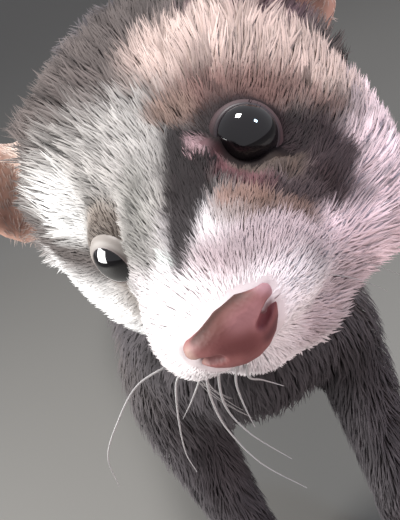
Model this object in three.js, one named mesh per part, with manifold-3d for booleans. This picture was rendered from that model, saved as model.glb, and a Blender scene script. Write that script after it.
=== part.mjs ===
// A life-size ferret that stands on four feet with its head raised, turned and tilted.
// Millimetres, +Z up, +X to the animal's left, and the animal faces -Y.
// Every flesh surface is drawn at the tips of the coat, and the eyes, ears and nose at their skin.
import * as THREE from "three";
import { mergeVertices } from "three/addons/utils/BufferGeometryUtils.js";
import Module from "manifold-3d";

const wasm = await Module();
wasm.setup();

// Driving dimensions
const gap = 0.3; // between touching pieces
const degree = Math.PI / 180;

// The head's own frame starts midway between the pupils: x left, y back, z up
const headAt = [-1, -178, 152];
const headYaw = 8.6; // nose towards the animal's right
const headPitch = 7.2; // nose up
const headRoll = 20.7; // left side up
const scalpTwist = 6; // the loose skin behind the eyes rolls that much less than the skull
const scalpStart = 4; // the twist grows from here back
const scalpReach = 22;
const crownSquareness = 2.15; // 2 is an ellipse, more is squarer
const cheekSquareness = 2.7;

const eyeballRadius = 4.0;
const pupilDepth = 0.86; // the pupil's distance from the eyeball's centre, in radii
const pupilSpacing = 22.8; // pupil to pupil
const eyeAxisOut = 38; // degrees from straight ahead
const eyeAxisUp = 8;
const lidRadius = 5.1; // outside of the closed lids round the eyeball
const lidSlant = 0.25; // the outer corners of the eyes sit higher
const lidOpenLeft = [7.6, 7.1]; // width and height between the lids
const lidOpenRight = [6.6, 5.8]; // the right eye squints a little

const noseBack = 23.4; // from the pupils forward to the nose leather
const noseDrop = 7.5; // down to its widest level
const noseWidth = 10.8;
const noseRise = 2.0; // above the widest level
const noseFall = 4.8; // below it
const noseThick = 3.0; // half its depth
const nostrilRadius = 0.8;
const philtrumRadius = 0.4;

const earOut = 22.5; // root of an ear, from the middle of the skull
const earBack = 27;
const earUp = 7.5;
const earHalfWidth = 8.6;
const earHeight = 13.5;
const earDepth = 5.6;
const earWall = 1.35;
const earSunk = 2.6; // how far the bowl is moved up out of its root
const earMouth = 1.2; // the rim is cut off this far in front of the bowl's middle

// Small helpers
const vec = (p) => new THREE.Vector3(...p);
const leftSide = new THREE.Matrix4();
const rightSide = new THREE.Matrix4().makeScale(-1, 1, 1);
const mergeReach = 1e-4;
const endCrowding = 0.6; // share by which rings gather towards the ends of a limb
const smoothStep = (x) => THREE.MathUtils.smoothstep(x, 0, 1);

// Value at x on the smooth curve through a few [x, value] pairs.
function along(pairs, x) {
  const last = pairs.length - 1;
  const at = THREE.MathUtils.clamp(x, pairs[0][0], pairs[last][0]);
  let i = 0;
  while (i < last - 1 && at > pairs[i + 1][0]) i += 1;
  const slope = (k) => {
    const a = pairs[Math.max(k - 1, 0)];
    const b = pairs[Math.min(k + 1, last)];
    return (b[1] - a[1]) / (b[0] - a[0]);
  };
  const span = pairs[i + 1][0] - pairs[i][0];
  const t = (at - pairs[i][0]) / span;
  const rise = pairs[i + 1][1] - pairs[i][1];
  const start = slope(i) * span;
  const end = slope(i + 1) * span;
  return pairs[i][1] + t * (start + t * (3 * rise - 2 * start - end + t * (start + end - 2 * rise)));
}

// A closed geometry as a solid for cutting and joining, turned right side out.
function solidOf(geometry, matrix = new THREE.Matrix4()) {
  const bare = geometry.clone().applyMatrix4(matrix);
  bare.deleteAttribute("normal");
  bare.deleteAttribute("uv");
  const merged = mergeVertices(bare, mergeReach);
  const corners = merged.index.array;
  const triVerts = [];
  for (let i = 0; i < corners.length; i += 3) {
    const [a, b, c] = [corners[i], corners[i + 1], corners[i + 2]];
    if (a !== b && b !== c && c !== a) triVerts.push(a, b, c);
  }
  const vertProperties = merged.attributes.position.array;
  const build = (tris) =>
    new wasm.Manifold(new wasm.Mesh({ numProp: 3, vertProperties, triVerts: new Uint32Array(tris) }));
  const made = build(triVerts);
  if (made.volume() > 0) return made;
  for (let i = 0; i < triVerts.length; i += 3) {
    [triVerts[i + 1], triVerts[i + 2]] = [triVerts[i + 2], triVerts[i + 1]];
  }
  return build(triVerts);
}

// The largest closed surface of a solid, without scraps and sealed hollows.
const largest = (solid) => solid.decompose().reduce((a, b) => (a.volume() > b.volume() ? a : b));

const joined = (solids) => solids.reduce((a, b) => a.add(b));

// A round-ended limb through stations { at, wide, deep }: wide is half its breadth
// towards the side, deep half its thickness across that and the path.
function limb(stations, around, rings, sideways = new THREE.Vector3(1, 0, 0)) {
  const path = new THREE.CatmullRomCurve3(stations.map((s) => vec(s.at)), false, "centripetal");
  const last = stations.length - 1;
  const lengths = stations.map((_, i) => [i, 0]);
  for (let i = 1; i <= last; i += 1) {
    lengths[i][1] = lengths[i - 1][1] + vec(stations[i].at).distanceTo(vec(stations[i - 1].at));
  }
  const whole = lengths[last][1];
  const wides = stations.map((s, i) => [i, s.wide]);
  const deeps = stations.map((s, i) => [i, s.deep]);
  const capAt = (distance, reach) => {
    const short = 1 - Math.min(distance / reach, 1);
    return Math.sqrt(Math.max(1 - short * short, 0));
  };
  const geometry = new THREE.SphereGeometry(1, around, rings);
  const position = geometry.attributes.position;
  const uv = geometry.attributes.uv;
  const side = new THREE.Vector3();
  for (let i = 0; i < position.count; i += 1) {
    const v = 1 - uv.getY(i);
    const t = THREE.MathUtils.lerp(v, (1 - Math.cos(Math.PI * v)) / 2, endCrowding);
    const centre = path.getPoint(t);
    const tangent = path.getTangent(t);
    side.copy(sideways).addScaledVector(tangent, -tangent.dot(sideways)).normalize();
    const up = new THREE.Vector3().crossVectors(tangent, side);
    const station = t * last;
    const walked = along(lengths, station);
    const round = capAt(walked, stations[0].deep) * capAt(whole - walked, stations[last].deep);
    const angle = uv.getX(i) * 2 * Math.PI;
    centre
      .addScaledVector(side, Math.cos(angle) * round * along(wides, station))
      .addScaledVector(up, Math.sin(angle) * round * along(deeps, station));
    position.setXYZ(i, centre.x, centre.y, centre.z);
  }
  return geometry;
}

// A closed tube of one radius along points, for grooves and lips.
function cordAlong(points, radius, steps, sides) {
  const path = new THREE.CatmullRomCurve3(points.map(vec), false, "centripetal");
  const outline = new THREE.Shape().absarc(0, 0, radius, 0, 2 * Math.PI, false);
  return new THREE.ExtrudeGeometry(outline, {
    steps,
    extrudePath: path,
    curveSegments: sides,
    bevelEnabled: false,
  });
}

// Head: side profile, plan and section as curves of y, in the head's frame
const crownLine = [
  [-24, -7], [-22, -5], [-17, -1.6], [-10, 2.6], [-4, 5.8], [2, 9.4],
  [10, 14.6], [20, 19.8], [30, 22.8], [40, 22.5], [50, 14],
];
const lipLine = [
  [-24, -9.5], [-22, -11.8], [-17, -12.9], [-10, -13.4], [-3, -14.8], [4, -17.8],
  [12, -20.2], [22, -21.4], [32, -20.5], [42, -17], [50, -8],
];
const widthLine = [
  [-24, 2.2], [-22.5, 5.2], [-20, 7.5], [-15, 9.7], [-10, 10.3], [-5, 10.6], [-1, 11.8],
  [3, 14.8], [8, 18.2], [14, 21.6], [22, 24], [30, 23.6], [40, 21], [50, 13],
];
const widestLine = [
  [-24, -8], [-17, -8.6], [-10, -8.4], [-3, -7], [4, -5],
  [12, -5], [22, -4], [32, -2.5], [50, -1],
];
const headFront = -24;
const headBack = 50;

// Soft swellings and hollows: centre of the left one, reach, and push outwards.
// The left cheek and jowl are fuller than the right ones.
const headForms = [
  { name: "whisker pad", at: [8, -17, -9], reach: 5.5, push: 1.1 },
  { name: "hollow before the eye", at: [9, -6.5, 0], reach: 5, push: -0.9 },
  { name: "brow", at: [9.5, 5, 8], reach: 5, push: 0.7 },
  { name: "left cheek", at: [14, -2, -17], reach: 10.5, push: 5.5, onlyLeft: true },
  { name: "left jowl", at: [19, 4, -16], reach: 14, push: 5, onlyLeft: true },
];

// The skin's roll round the head's long axis
function scalpTurn(y) {
  return scalpTwist * degree * smoothStep((y - scalpStart) / scalpReach);
}

// A point of the head's section at y, angle counted from the left side up.
function headPoint(y, angle) {
  const top = along(crownLine, y);
  const bottom = along(lipLine, y);
  const wide = along(widthLine, y);
  const level = along(widestLine, y);
  const upper = Math.sin(angle) > 0;
  const rise = upper ? top - level : level - bottom;
  const power = 2 / (upper ? crownSquareness : cheekSquareness);
  const c = Math.cos(angle);
  const s = Math.sin(angle);
  const point = new THREE.Vector3(
    Math.sign(c) * Math.abs(c) ** power * wide,
    y,
    level + Math.sign(s) * Math.abs(s) ** power * rise,
  );
  const outward = new THREE.Vector3(point.x / wide ** 2, 0, (point.z - level) / rise ** 2).normalize();
  for (const form of headForms) {
    for (const sign of form.onlyLeft ? [1] : [1, -1]) {
      const away = point.distanceTo(new THREE.Vector3(sign * form.at[0], form.at[1], form.at[2]));
      const share = Math.exp(-((away / form.reach) ** 2));
      point.addScaledVector(outward, share * form.push);
    }
  }
  return point.applyAxisAngle(new THREE.Vector3(0, 1, 0), scalpTurn(y));
}

// The head without its lids, lips and jaw, and how its rings are spaced: closer at the
// muzzle than at the nape.
const headAround = 36;
const headRings = 30;
const ringCrowding = 0.55;
const ringLean = 1.12;

function headShell(grow) {
  const geometry = new THREE.SphereGeometry(1, headAround, headRings);
  const position = geometry.attributes.position;
  const uv = geometry.attributes.uv;
  for (let i = 0; i < position.count; i += 1) {
    const v = 1 - uv.getY(i);
    const eased = THREE.MathUtils.lerp(v, (1 - Math.cos(Math.PI * v)) / 2, ringCrowding);
    const y = headFront + (headBack - headFront) * eased ** ringLean;
    const point = headPoint(y, uv.getX(i) * 2 * Math.PI);
    const closing = v === 0 || v === 1;
    const middle = (along(crownLine, y) + along(lipLine, y)) / 2;
    if (closing) point.set(0, y, middle);
    const outward = new THREE.Vector3(point.x, 0, point.z - middle).normalize();
    point.addScaledVector(outward, grow);
    position.setXYZ(i, point.x, point.y, point.z);
  }
  return geometry;
}

// The lower jaw, slimmer than the upper lip so that its edge shows
const jawStations = [
  { at: [0, -18.2, -13.8], wide: 4.2, deep: 2.6 },
  { at: [0, -15, -14.4], wide: 6.0, deep: 3.6 },
  { at: [0, -8, -15.2], wide: 8.6, deep: 4.6 },
  { at: [0, 1, -15.8], wide: 9.8, deep: 5.2 },
  { at: [0, 12, -14], wide: 8, deep: 5 },
];

// Half of the mouth, from under the nose back to a corner below the eye. lift and spread
// set it off from the lip's edge, and it thins towards the corner.
const mouthStart = -22;
const mouthCorner = -3.5;
const mouthInset = 1.7;
const mouthSteps = 7;
const mouthThinning = 0.45;

function mouthHalf(side, lift, spread, radius) {
  const stations = [];
  for (let i = 0; i <= mouthSteps; i += 1) {
    const share = i / mouthSteps;
    const y = THREE.MathUtils.lerp(mouthStart, mouthCorner, share ** 1.5);
    const sway = Math.sin((Math.min(share * 1.3, 1) * Math.PI) / 2) ** 0.8;
    const x = side * sway * (along(widthLine, y) - mouthInset + spread);
    const z = along(lipLine, y) + lift + 0.6 * (1 - share);
    const thick = radius * (1 - mouthThinning * share ** 2);
    stations.push({ at: [x, y, z], wide: thick, deep: thick });
  }
  return limb(stations, 7, 14, new THREE.Vector3(0, 0, 1));
}

const headMatrix = new THREE.Matrix4()
  .makeRotationFromEuler(new THREE.Euler(-headPitch * degree, -headRoll * degree, -headYaw * degree, "ZXY"))
  .setPosition(...headAt);

// Eyes: the left one, with the way it looks and its place
const eyeAxis = new THREE.Vector3(
  Math.sin(eyeAxisOut * degree) * Math.cos(eyeAxisUp * degree),
  -Math.cos(eyeAxisOut * degree) * Math.cos(eyeAxisUp * degree),
  Math.sin(eyeAxisUp * degree),
);
const eyeCentre = new THREE.Vector3(pupilSpacing / 2, 0, 0);
eyeCentre.addScaledVector(eyeAxis, -eyeballRadius * pupilDepth);
const eyeDetail = 3;
const lidDetail = 4;

function ball(centre, radius, detail) {
  return new THREE.IcosahedronGeometry(radius, detail).translate(centre.x, centre.y, centre.z);
}

// A prism of the opening between the lids, pointing out along the eye's axis.
function lidOpening([width, height]) {
  const half = width / 2;
  const rise = (height / 2) * 1.32; // a curve passes three quarters of the way to its handles
  const lean = half * 0.8;
  const outline = new THREE.Shape();
  outline.moveTo(-half, 0);
  outline.bezierCurveTo(-lean, rise, lean, rise, half, 0);
  outline.bezierCurveTo(lean, -rise, -lean, -rise, -half, 0);
  const depth = 2 * eyeballRadius;
  const prism = new THREE.ExtrudeGeometry(outline, { depth, bevelEnabled: false, curveSegments: 8 });
  const across = new THREE.Vector3().crossVectors(new THREE.Vector3(0, lidSlant, 1), eyeAxis).normalize();
  const rising = new THREE.Vector3().crossVectors(eyeAxis, across);
  const turned = new THREE.Matrix4().makeBasis(across, rising, eyeAxis);
  turned.setPosition(eyeCentre.clone().addScaledVector(eyeAxis, eyeballRadius * 0.3));
  return prism.applyMatrix4(turned);
}

// Ears: a bowl that opens forwards and outwards, from a root on the side of the crown
const earRise = new THREE.Vector3(0.62, 0.16, 0.76).normalize();
const earFacing = new THREE.Vector3(0.42, -0.86, -0.1);
earFacing.addScaledVector(earRise, -earFacing.dot(earRise)).normalize();
const earAcross = new THREE.Vector3().crossVectors(earRise, earFacing);
const earTwist = new THREE.Matrix4().makeRotationY(scalpTurn(earBack));
const earStand = new THREE.Matrix4().makeBasis(earAcross, earRise, earFacing);
earStand.setPosition(earOut, earBack, earUp);
const leftEar = earTwist.clone().multiply(earStand);
const rightEar = earTwist.clone().multiply(rightSide).multiply(earStand);

// The bowl narrows and curls forwards towards its rounded top.
const earNarrowing = 0.012;
const earCurl = 0.012;

function earBowl(inset, forward, around, rings) {
  const bowl = new THREE.SphereGeometry(1, around, rings);
  const position = bowl.attributes.position;
  for (let i = 0; i < position.count; i += 1) {
    const height = position.getY(i) * (earHeight - earSunk - inset) + earSunk;
    const above = Math.max(height, 0);
    const across = position.getX(i) * (earHalfWidth - inset) * (1 - earNarrowing * above);
    const ahead = position.getZ(i) * (earDepth - inset * 0.3) + forward + earCurl * above ** 2;
    position.setXYZ(i, across, height, ahead);
  }
  return bowl;
}

function earSolid() {
  const outer = solidOf(earBowl(0, 0, 18, 12));
  const cup = solidOf(earBowl(earWall, earWall + 0.5, 16, 10));
  const front = new THREE.BoxGeometry(40, 40, 20).translate(0, 12, 10 + earMouth);
  return largest(outer.subtract(cup).subtract(solidOf(front)));
}

// The nose leather, with its two comma nostrils and the groove between them
function nosePad(grow) {
  const pad = new THREE.SphereGeometry(1, 20, 14);
  const position = pad.attributes.position;
  for (let i = 0; i < position.count; i += 1) {
    const z = position.getZ(i);
    const narrow = 1 - 0.12 * smoothStep(-z);
    const tall = z > 0 ? noseRise : noseFall;
    position.setXYZ(
      i,
      position.getX(i) * (noseWidth / 2 + grow) * narrow,
      -noseBack + 1.4 + position.getY(i) * (noseThick + grow),
      -noseDrop + z * (tall + grow),
    );
  }
  return pad;
}

// Each nostril runs from the front of the leather out and back through its side.
function noseSolid() {
  let nose = solidOf(nosePad(0));
  for (const side of [1, -1]) {
    const nostril = [
      [side * 2.1, -noseBack - 2.6, -noseDrop - 2.1],
      [side * 2.8, -noseBack - 0.9, -noseDrop - 1.9],
      [side * 4.2, -noseBack - 0.2, -noseDrop - 1.3],
      [side * 5.8, -noseBack + 0.9, -noseDrop - 1.3],
    ];
    nose = nose.subtract(solidOf(cordAlong(nostril, nostrilRadius, 6, 6)));
  }
  const philtrum = [
    [0, -noseBack - 1.9, -noseDrop - 2.0],
    [0, -noseBack - 1.5, -noseDrop - 3.4],
    [0, -noseBack - 0.2, -noseDrop - 5.4],
  ];
  return largest(nose.subtract(solidOf(cordAlong(philtrum, philtrumRadius, 5, 6))));
}

// Lips: raised edge and the line of the mouth cut under it, set off from the lip's edge
const lipEdge = { lift: 0.9, spread: 0.1, radius: 1.1 };
const lipCut = { lift: -0.6, spread: 0.5, radius: 0.55 };

function headSolid() {
  let head = solidOf(headShell(0));
  head = head.add(solidOf(limb(jawStations, 16, 10)));
  for (const side of [1, -1]) {
    head = head.add(solidOf(mouthHalf(side, lipEdge.lift, lipEdge.spread, lipEdge.radius)));
  }
  for (const side of [1, -1]) {
    head = head.subtract(solidOf(mouthHalf(side, lipCut.lift, lipCut.spread, lipCut.radius)));
  }
  for (const [side, opening] of [[leftSide, lidOpenLeft], [rightSide, lidOpenRight]]) {
    head = head.add(solidOf(ball(eyeCentre, lidRadius, lidDetail), side));
    head = head.subtract(solidOf(lidOpening(opening), side));
    head = head.subtract(solidOf(ball(eyeCentre, eyeballRadius + gap, eyeDetail), side));
  }
  return head.subtract(solidOf(nosePad(gap)));
}

// Trunk: neck, shoulders, ribs, loin, hips and rump on one bent spine
const trunkStations = [
  { at: [5, -152, 149], wide: 17, deep: 16 }, // inside the head
  { at: [4.5, -138, 144], wide: 22.5, deep: 22 },
  { at: [3, -120, 127], wide: 23, deep: 23.5 }, // neck
  { at: [0, -100, 103], wide: 25, deep: 26 },
  { at: [0, -76, 83], wide: 28.5, deep: 30 }, // shoulders
  { at: [0, -42, 80.5], wide: 30.5, deep: 29.5 }, // ribs
  { at: [0, -4, 86], wide: 31.5, deep: 31 },
  { at: [0, 34, 94], wide: 33.5, deep: 33 }, // loin, the top of the arch
  { at: [0, 68, 91], wide: 34, deep: 33 }, // hips
  { at: [0, 97, 79], wide: 27, deep: 27 },
  { at: [0, 118, 68], wide: 15, deep: 16 }, // rump
];

const tailStations = [
  { at: [0, 92, 82], wide: 13, deep: 14 },
  { at: [1, 116, 69], wide: 13.5, deep: 14 },
  { at: [5, 142, 57], wide: 14, deep: 14 },
  { at: [13, 170, 46.5], wide: 13.5, deep: 13.5 },
  { at: [25, 196, 39], wide: 11.5, deep: 11.5 },
  { at: [37, 216, 35.5], wide: 7.5, deep: 7.5 },
  { at: [45, 229, 35], wide: 3, deep: 3 },
];

// Legs of the left side. stride moves a foot along y.
function foreLeg(stride) {
  return [
    { at: [15, -80, 96], wide: 12, deep: 15 },
    { at: [20, -84, 77], wide: 12.5, deep: 16 }, // shoulder
    { at: [22.5, -78, 58], wide: 11, deep: 12.5 }, // elbow
    { at: [21.5, -80 + stride * 0.5, 38], wide: 9.2, deep: 9.6 },
    { at: [20, -86 + stride, 20], wide: 7.8, deep: 7.6 }, // wrist
    { at: [19.5, -90 + stride, 9], wide: 7.8, deep: 6.6 },
  ];
}

function hindLeg(stride) {
  return [
    { at: [14, 70, 100], wide: 13, deep: 20 },
    { at: [23, 64, 80], wide: 14.5, deep: 22 }, // thigh
    { at: [27.5, 60, 60], wide: 12, deep: 16 }, // knee
    { at: [26, 72 + stride * 0.6, 42], wide: 9, deep: 11 },
    { at: [24, 84 + stride, 27], wide: 7.2, deep: 8.2 }, // hock
    { at: [24, 78 + stride, 13], wide: 7.4, deep: 7.4 },
  ];
}

// Feet, in a frame whose origin is on the floor under the ball of the foot
const toeSpread = [-8.6, -5.9, -2.1, 2.2, 6.0]; // from the inner toe to the outer
const toeReach = [4.5, 10.5, 13, 13, 10.5];
const toeTurn = [-16, -9, -3, 3, 10]; // degrees outwards
const toeRadius = 3.3;
const clawLength = 6.2;
const clawRadius = 1.15;

function toe(index, lengthen) {
  const turn = toeTurn[index] * degree;
  const reach = toeReach[index] * lengthen;
  const out = (share) => [
    toeSpread[index] + Math.sin(turn) * reach * share,
    4 - Math.cos(turn) * (reach + 4) * share,
  ];
  const [rootX, rootY] = out(0);
  const [midX, midY] = out(0.6);
  const [tipX, tipY] = out(1);
  return limb(
    [
      { at: [rootX, rootY, 4.6], wide: toeRadius, deep: toeRadius },
      { at: [midX, midY, 4.4], wide: toeRadius, deep: toeRadius + 0.3 },
      { at: [tipX, tipY, 2.8], wide: toeRadius - 0.5, deep: toeRadius - 0.3 },
    ],
    6,
    5,
  );
}

function claw(index, lengthen) {
  const turn = toeTurn[index] * degree;
  const reach = toeReach[index] * lengthen - 2.2;
  const out = (extra) => [
    toeSpread[index] + Math.sin(turn) * (reach + extra),
    -Math.cos(turn) * (reach + extra),
  ];
  return limb(
    [
      { at: [...out(0), 4.4], wide: clawRadius, deep: clawRadius * 1.2 },
      { at: [...out(clawLength * 0.55), 3.9], wide: clawRadius * 0.8, deep: clawRadius },
      { at: [...out(clawLength), 1.3], wide: 0.25, deep: 0.3 },
    ],
    4,
    4,
  );
}

// palm is the foot's own stations behind the toes; the sole is cut flat by the floor
function footPieces(palm, lengthen) {
  const pieces = [limb(palm, 10, 8)];
  for (let index = 0; index < toeSpread.length; index += 1) {
    pieces.push(toe(index, lengthen), claw(index, lengthen));
  }
  return pieces;
}

const forePalm = [
  { at: [0, 9, 12], wide: 6.6, deep: 6.4 },
  { at: [0, 3, 6.6], wide: 8.0, deep: 6.8 },
  { at: [0, -4, 4.6], wide: 8.4, deep: 5.2 },
];
const hindPalm = [
  { at: [0, 25, 22], wide: 6.4, deep: 6.4 }, // heel
  { at: [0, 14, 10.5], wide: 7.4, deep: 6.6 },
  { at: [0, 3, 6], wide: 8.4, deep: 6.6 },
  { at: [0, -4, 4.6], wide: 8.6, deep: 5.2 },
];

// What a fore and a hind leg are made of, and where they are parted: the ankle, the elbow
// or knee, and the outline of the upper part, which starts beside the trunk at inner
const legKinds = {
  front: {
    stations: foreLeg,
    palm: forePalm,
    foot: [19.5, -95],
    lengthen: 1,
    ankle: 17,
    joint: 50,
    upper: { at: [-83, 80], radius: 20 },
    inner: 14,
  },
  hind: {
    stations: hindLeg,
    palm: hindPalm,
    foot: [24, 62],
    lengthen: 1.12,
    ankle: 24,
    joint: 57,
    upper: { at: [64, 80], radius: 25 },
    inner: 15,
  },
};
const legs = [
  { kind: "front", side: "left", stride: -7 },
  { kind: "front", side: "right", stride: 5 },
  { kind: "hind", side: "left", stride: 6 },
  { kind: "hind", side: "right", stride: -8 },
];
const sideMatrix = (side) => (side === "left" ? leftSide : rightSide).clone();

function legSolid({ kind, side, stride }) {
  const { stations, palm, foot, lengthen } = legKinds[kind];
  const shank = solidOf(limb(stations(stride), 12, 14), sideMatrix(side));
  const standing = new THREE.Matrix4().makeTranslation(foot[0], foot[1] + stride, 0);
  const stand = sideMatrix(side).multiply(standing);
  return joined([shank, ...footPieces(palm, lengthen).map((piece) => solidOf(piece, stand))]);
}

// The whole body first, then thin cuts
const bowl = earSolid();
const inHead = (matrix) => headMatrix.clone().multiply(matrix);
const place = (solid, matrix) => solid.transform(matrix.elements);
const wellPast = 600; // longer than the animal

let body = place(headSolid(), headMatrix);
body = body.add(solidOf(limb(trunkStations, 24, 34)));
body = body.add(solidOf(limb(tailStations, 12, 15)));
for (const leg of legs) body = body.add(legSolid(leg));
const underFloor = new THREE.BoxGeometry(wellPast, wellPast, 40).translate(0, 0, -20);
body = body.subtract(solidOf(underFloor));

// The part of a solid inside a box, and what is left outside it, a gap away.
function cutOut(whole, size, matrix) {
  const inside = solidOf(new THREE.BoxGeometry(...size), matrix);
  const wider = size.map((length) => length + 2 * gap);
  const outside = solidOf(new THREE.BoxGeometry(...wider), matrix);
  return [largest(whole.intersect(inside)), whole.subtract(outside)];
}

const parts = new Map();

// Ears stand on the head's own surface
const scalp = solidOf(headShell(gap), headMatrix);
parts.set("ear_left", largest(place(bowl, inHead(leftEar)).subtract(scalp)));
parts.set("ear_right", largest(place(bowl, inHead(rightEar)).subtract(scalp)));

// A cutter with the outline of an upper leg seen from the side: round above, straight below
function upperLegCutter({ joint, upper, inner }, side, grow) {
  const [y, z] = upper.at;
  const radius = upper.radius + grow;
  const foot = joint - 20 - z;
  const outline = new THREE.Shape();
  outline.moveTo(radius, foot);
  outline.lineTo(radius, 0);
  outline.absarc(0, 0, radius, 0, Math.PI, false);
  outline.lineTo(-radius, foot);
  const depth = 40 + grow;
  const prism = new THREE.ExtrudeGeometry(outline, { depth, bevelEnabled: false, curveSegments: 14 });
  const [alongY, alongZ, alongX] = [vec([0, 1, 0]), vec([0, 0, 1]), vec([1, 0, 0])];
  const turned = new THREE.Matrix4().makeBasis(alongY, alongZ, alongX).setPosition(inner - grow, y, z);
  return solidOf(prism, sideMatrix(side).multiply(turned));
}

// Feet at the ankles, lower legs at the elbows or knees, and upper legs off the trunk
const legBox = [38, 70, 60];
const legBoxOffset = [4, 8]; // its middle, outwards and back from the middle of the foot

for (const { kind, side, stride } of legs) {
  const { foot: [footOut, footBack], ankle, joint } = legKinds[kind];
  const below = (height) =>
    sideMatrix(side).multiply(
      new THREE.Matrix4().makeTranslation(
        footOut + legBoxOffset[0],
        footBack + stride + legBoxOffset[1],
        height - legBox[2] / 2,
      ),
    );
  const [foot, above] = cutOut(body, legBox, below(ankle));
  const [lower, high] = cutOut(above, legBox, below(joint));
  const upper = high.intersect(upperLegCutter(legKinds[kind], side, 0));
  parts.set(`${kind}_foot_${side}`, foot);
  parts.set(`${kind}_lower_leg_${side}`, lower);
  parts.set(`${kind}_upper_leg_${side}`, largest(upper));
  body = high.subtract(upperLegCutter(legKinds[kind], side, gap));
}

// A cube whose face crosses the spine at a point: everything behind it, or in front of it
function spineBox({ point, normal, keep }) {
  const back = vec(normal).normalize();
  const side = new THREE.Vector3(1, 0, 0).addScaledVector(back, -back.x).normalize();
  const up = new THREE.Vector3().crossVectors(back, side);
  const middle = vec(point).addScaledVector(back, ((keep === "behind" ? 1 : -1) * wellPast) / 2);
  return new THREE.Matrix4().makeBasis(side, up, back).setPosition(middle);
}

const spineCuts = [
  { name: "head", point: [-2, -147, 141], normal: [0.05, 0.86, -0.5], keep: "in front" },
  { name: "neck", point: [0, -104, 102], normal: [0, 0.75, -0.66], keep: "in front" },
  { name: "tail", point: [1, 122, 70], normal: [0, 0.9, -0.43], keep: "behind" },
  { name: "chest", point: [0, -18, 85], normal: [0, 1, 0.12], keep: "in front" },
];
for (const cut of spineCuts) {
  const [part, rest] = cutOut(body, [wellPast, wellPast, wellPast], spineBox(cut));
  parts.set(cut.name, part);
  body = rest;
}
parts.set("loin_and_hips", largest(body));

for (const side of ["left", "right"]) {
  const eyeball = ball(eyeCentre, eyeballRadius, eyeDetail);
  parts.set(`eye_${side}`, solidOf(eyeball, inHead(sideMatrix(side))));
}
parts.set("nose", place(noseSolid(), headMatrix));

// Finishes
const finishes = {
  coat: { name: "dark coat", color: 0x4a423d, roughness: 0.85, metalness: 0 },
  face: { name: "pale face coat", color: 0xb5a99e, roughness: 0.85, metalness: 0 },
  ear: { name: "ear skin", color: 0xd8b5a2, roughness: 0.7, metalness: 0 },
  eye: { name: "eye", color: 0x17110f, roughness: 0.05, metalness: 0 },
  nose: { name: "nose leather", color: 0x8a4f4a, roughness: 0.45, metalness: 0 },
};
function finishOf(name) {
  if (name.startsWith("eye")) return finishes.eye;
  if (name.startsWith("ear")) return finishes.ear;
  if (name === "nose") return finishes.nose;
  return name === "head" ? finishes.face : finishes.coat;
}

function meshOf(name, solid) {
  const { numProp, numVert, vertProperties, triVerts } = solid.getMesh();
  const points = new Float32Array(numVert * 3);
  for (let i = 0; i < numVert; i += 1) {
    points.set(vertProperties.subarray(i * numProp, i * numProp + 3), i * 3);
  }
  const geometry = new THREE.BufferGeometry();
  geometry.setAttribute("position", new THREE.BufferAttribute(points, 3));
  geometry.setIndex(new THREE.BufferAttribute(new Uint32Array(triVerts), 1));
  geometry.computeVertexNormals();
  const mesh = new THREE.Mesh(geometry, new THREE.MeshStandardMaterial(finishOf(name)));
  mesh.name = name;
  return mesh;
}

const ferret = new THREE.Group();
for (const [name, solid] of parts) ferret.add(meshOf(name, largest(solid)));

// The origin is on the floor under the middle of the animal
const bounds = new THREE.Box3().setFromObject(ferret);
const middle = bounds.getCenter(new THREE.Vector3());
ferret.position.set(-middle.x, -middle.y, -bounds.min.z);

export default ferret;
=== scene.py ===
# %% [markdown]
# A ferret at life size, standing with its head raised, turned and tilted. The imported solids
# say where everything is. They end at the tips of the coat, so this lesson puts a skin inside
# them, grows the coat out to them again, and then makes eyes, nose, whiskers and claws.

# %% Load the frame
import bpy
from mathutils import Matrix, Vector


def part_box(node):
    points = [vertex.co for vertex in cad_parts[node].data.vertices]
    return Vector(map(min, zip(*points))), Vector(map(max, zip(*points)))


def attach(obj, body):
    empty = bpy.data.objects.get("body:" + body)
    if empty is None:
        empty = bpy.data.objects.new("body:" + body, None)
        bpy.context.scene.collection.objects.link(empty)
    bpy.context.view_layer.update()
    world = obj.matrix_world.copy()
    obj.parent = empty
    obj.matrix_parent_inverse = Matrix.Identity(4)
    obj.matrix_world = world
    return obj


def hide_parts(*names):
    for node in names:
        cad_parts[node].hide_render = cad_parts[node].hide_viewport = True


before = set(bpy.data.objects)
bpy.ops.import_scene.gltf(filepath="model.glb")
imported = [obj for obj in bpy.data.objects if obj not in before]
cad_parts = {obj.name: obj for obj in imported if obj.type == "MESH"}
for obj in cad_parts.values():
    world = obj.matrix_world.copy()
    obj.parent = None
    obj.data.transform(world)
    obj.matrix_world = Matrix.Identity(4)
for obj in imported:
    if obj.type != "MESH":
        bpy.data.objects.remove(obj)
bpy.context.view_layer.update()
print("solids:", len(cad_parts))

# %% [markdown]
# The lesson measures in millimetres, as a model maker would, and turns them into metres where
# points go into a mesh. One seeded source gives all that is random, so each run is the same.

# %% Libraries and units
import math

import bmesh
import bpy
import numpy as np
from mathutils import Matrix, Vector
from mathutils.bvhtree import BVHTree
from mathutils.kdtree import KDTree

MM = 0.001
SEED = 7
dice = np.random.default_rng(SEED)
print("quick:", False)

# %% [markdown]
# The face is easiest to describe in the skull's own directions: x to the animal's left, y back
# along the skull and z up, in millimetres from the point midway between the pupils. The
# skull's turn is the one its solids have, and its place comes from the two eyeballs.

# %% The head's frame
HEAD_YAW = 8.6
HEAD_PITCH = 7.2
HEAD_ROLL = 20.7
EYE_AXIS_OUT = 38
EYE_AXIS_UP = 8
EYE_RADIUS = 4.0
PUPIL_DEPTH = 0.86
PUPIL_SPACING = 22.8
MIRROR = np.array([-1, 1, 1])


def middle_of(node):
    low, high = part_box(node)
    return np.array((low + high) / 2) / MM


def turn(axis, degrees):
    return np.array(Matrix.Rotation(math.radians(degrees), 3, axis))


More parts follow.
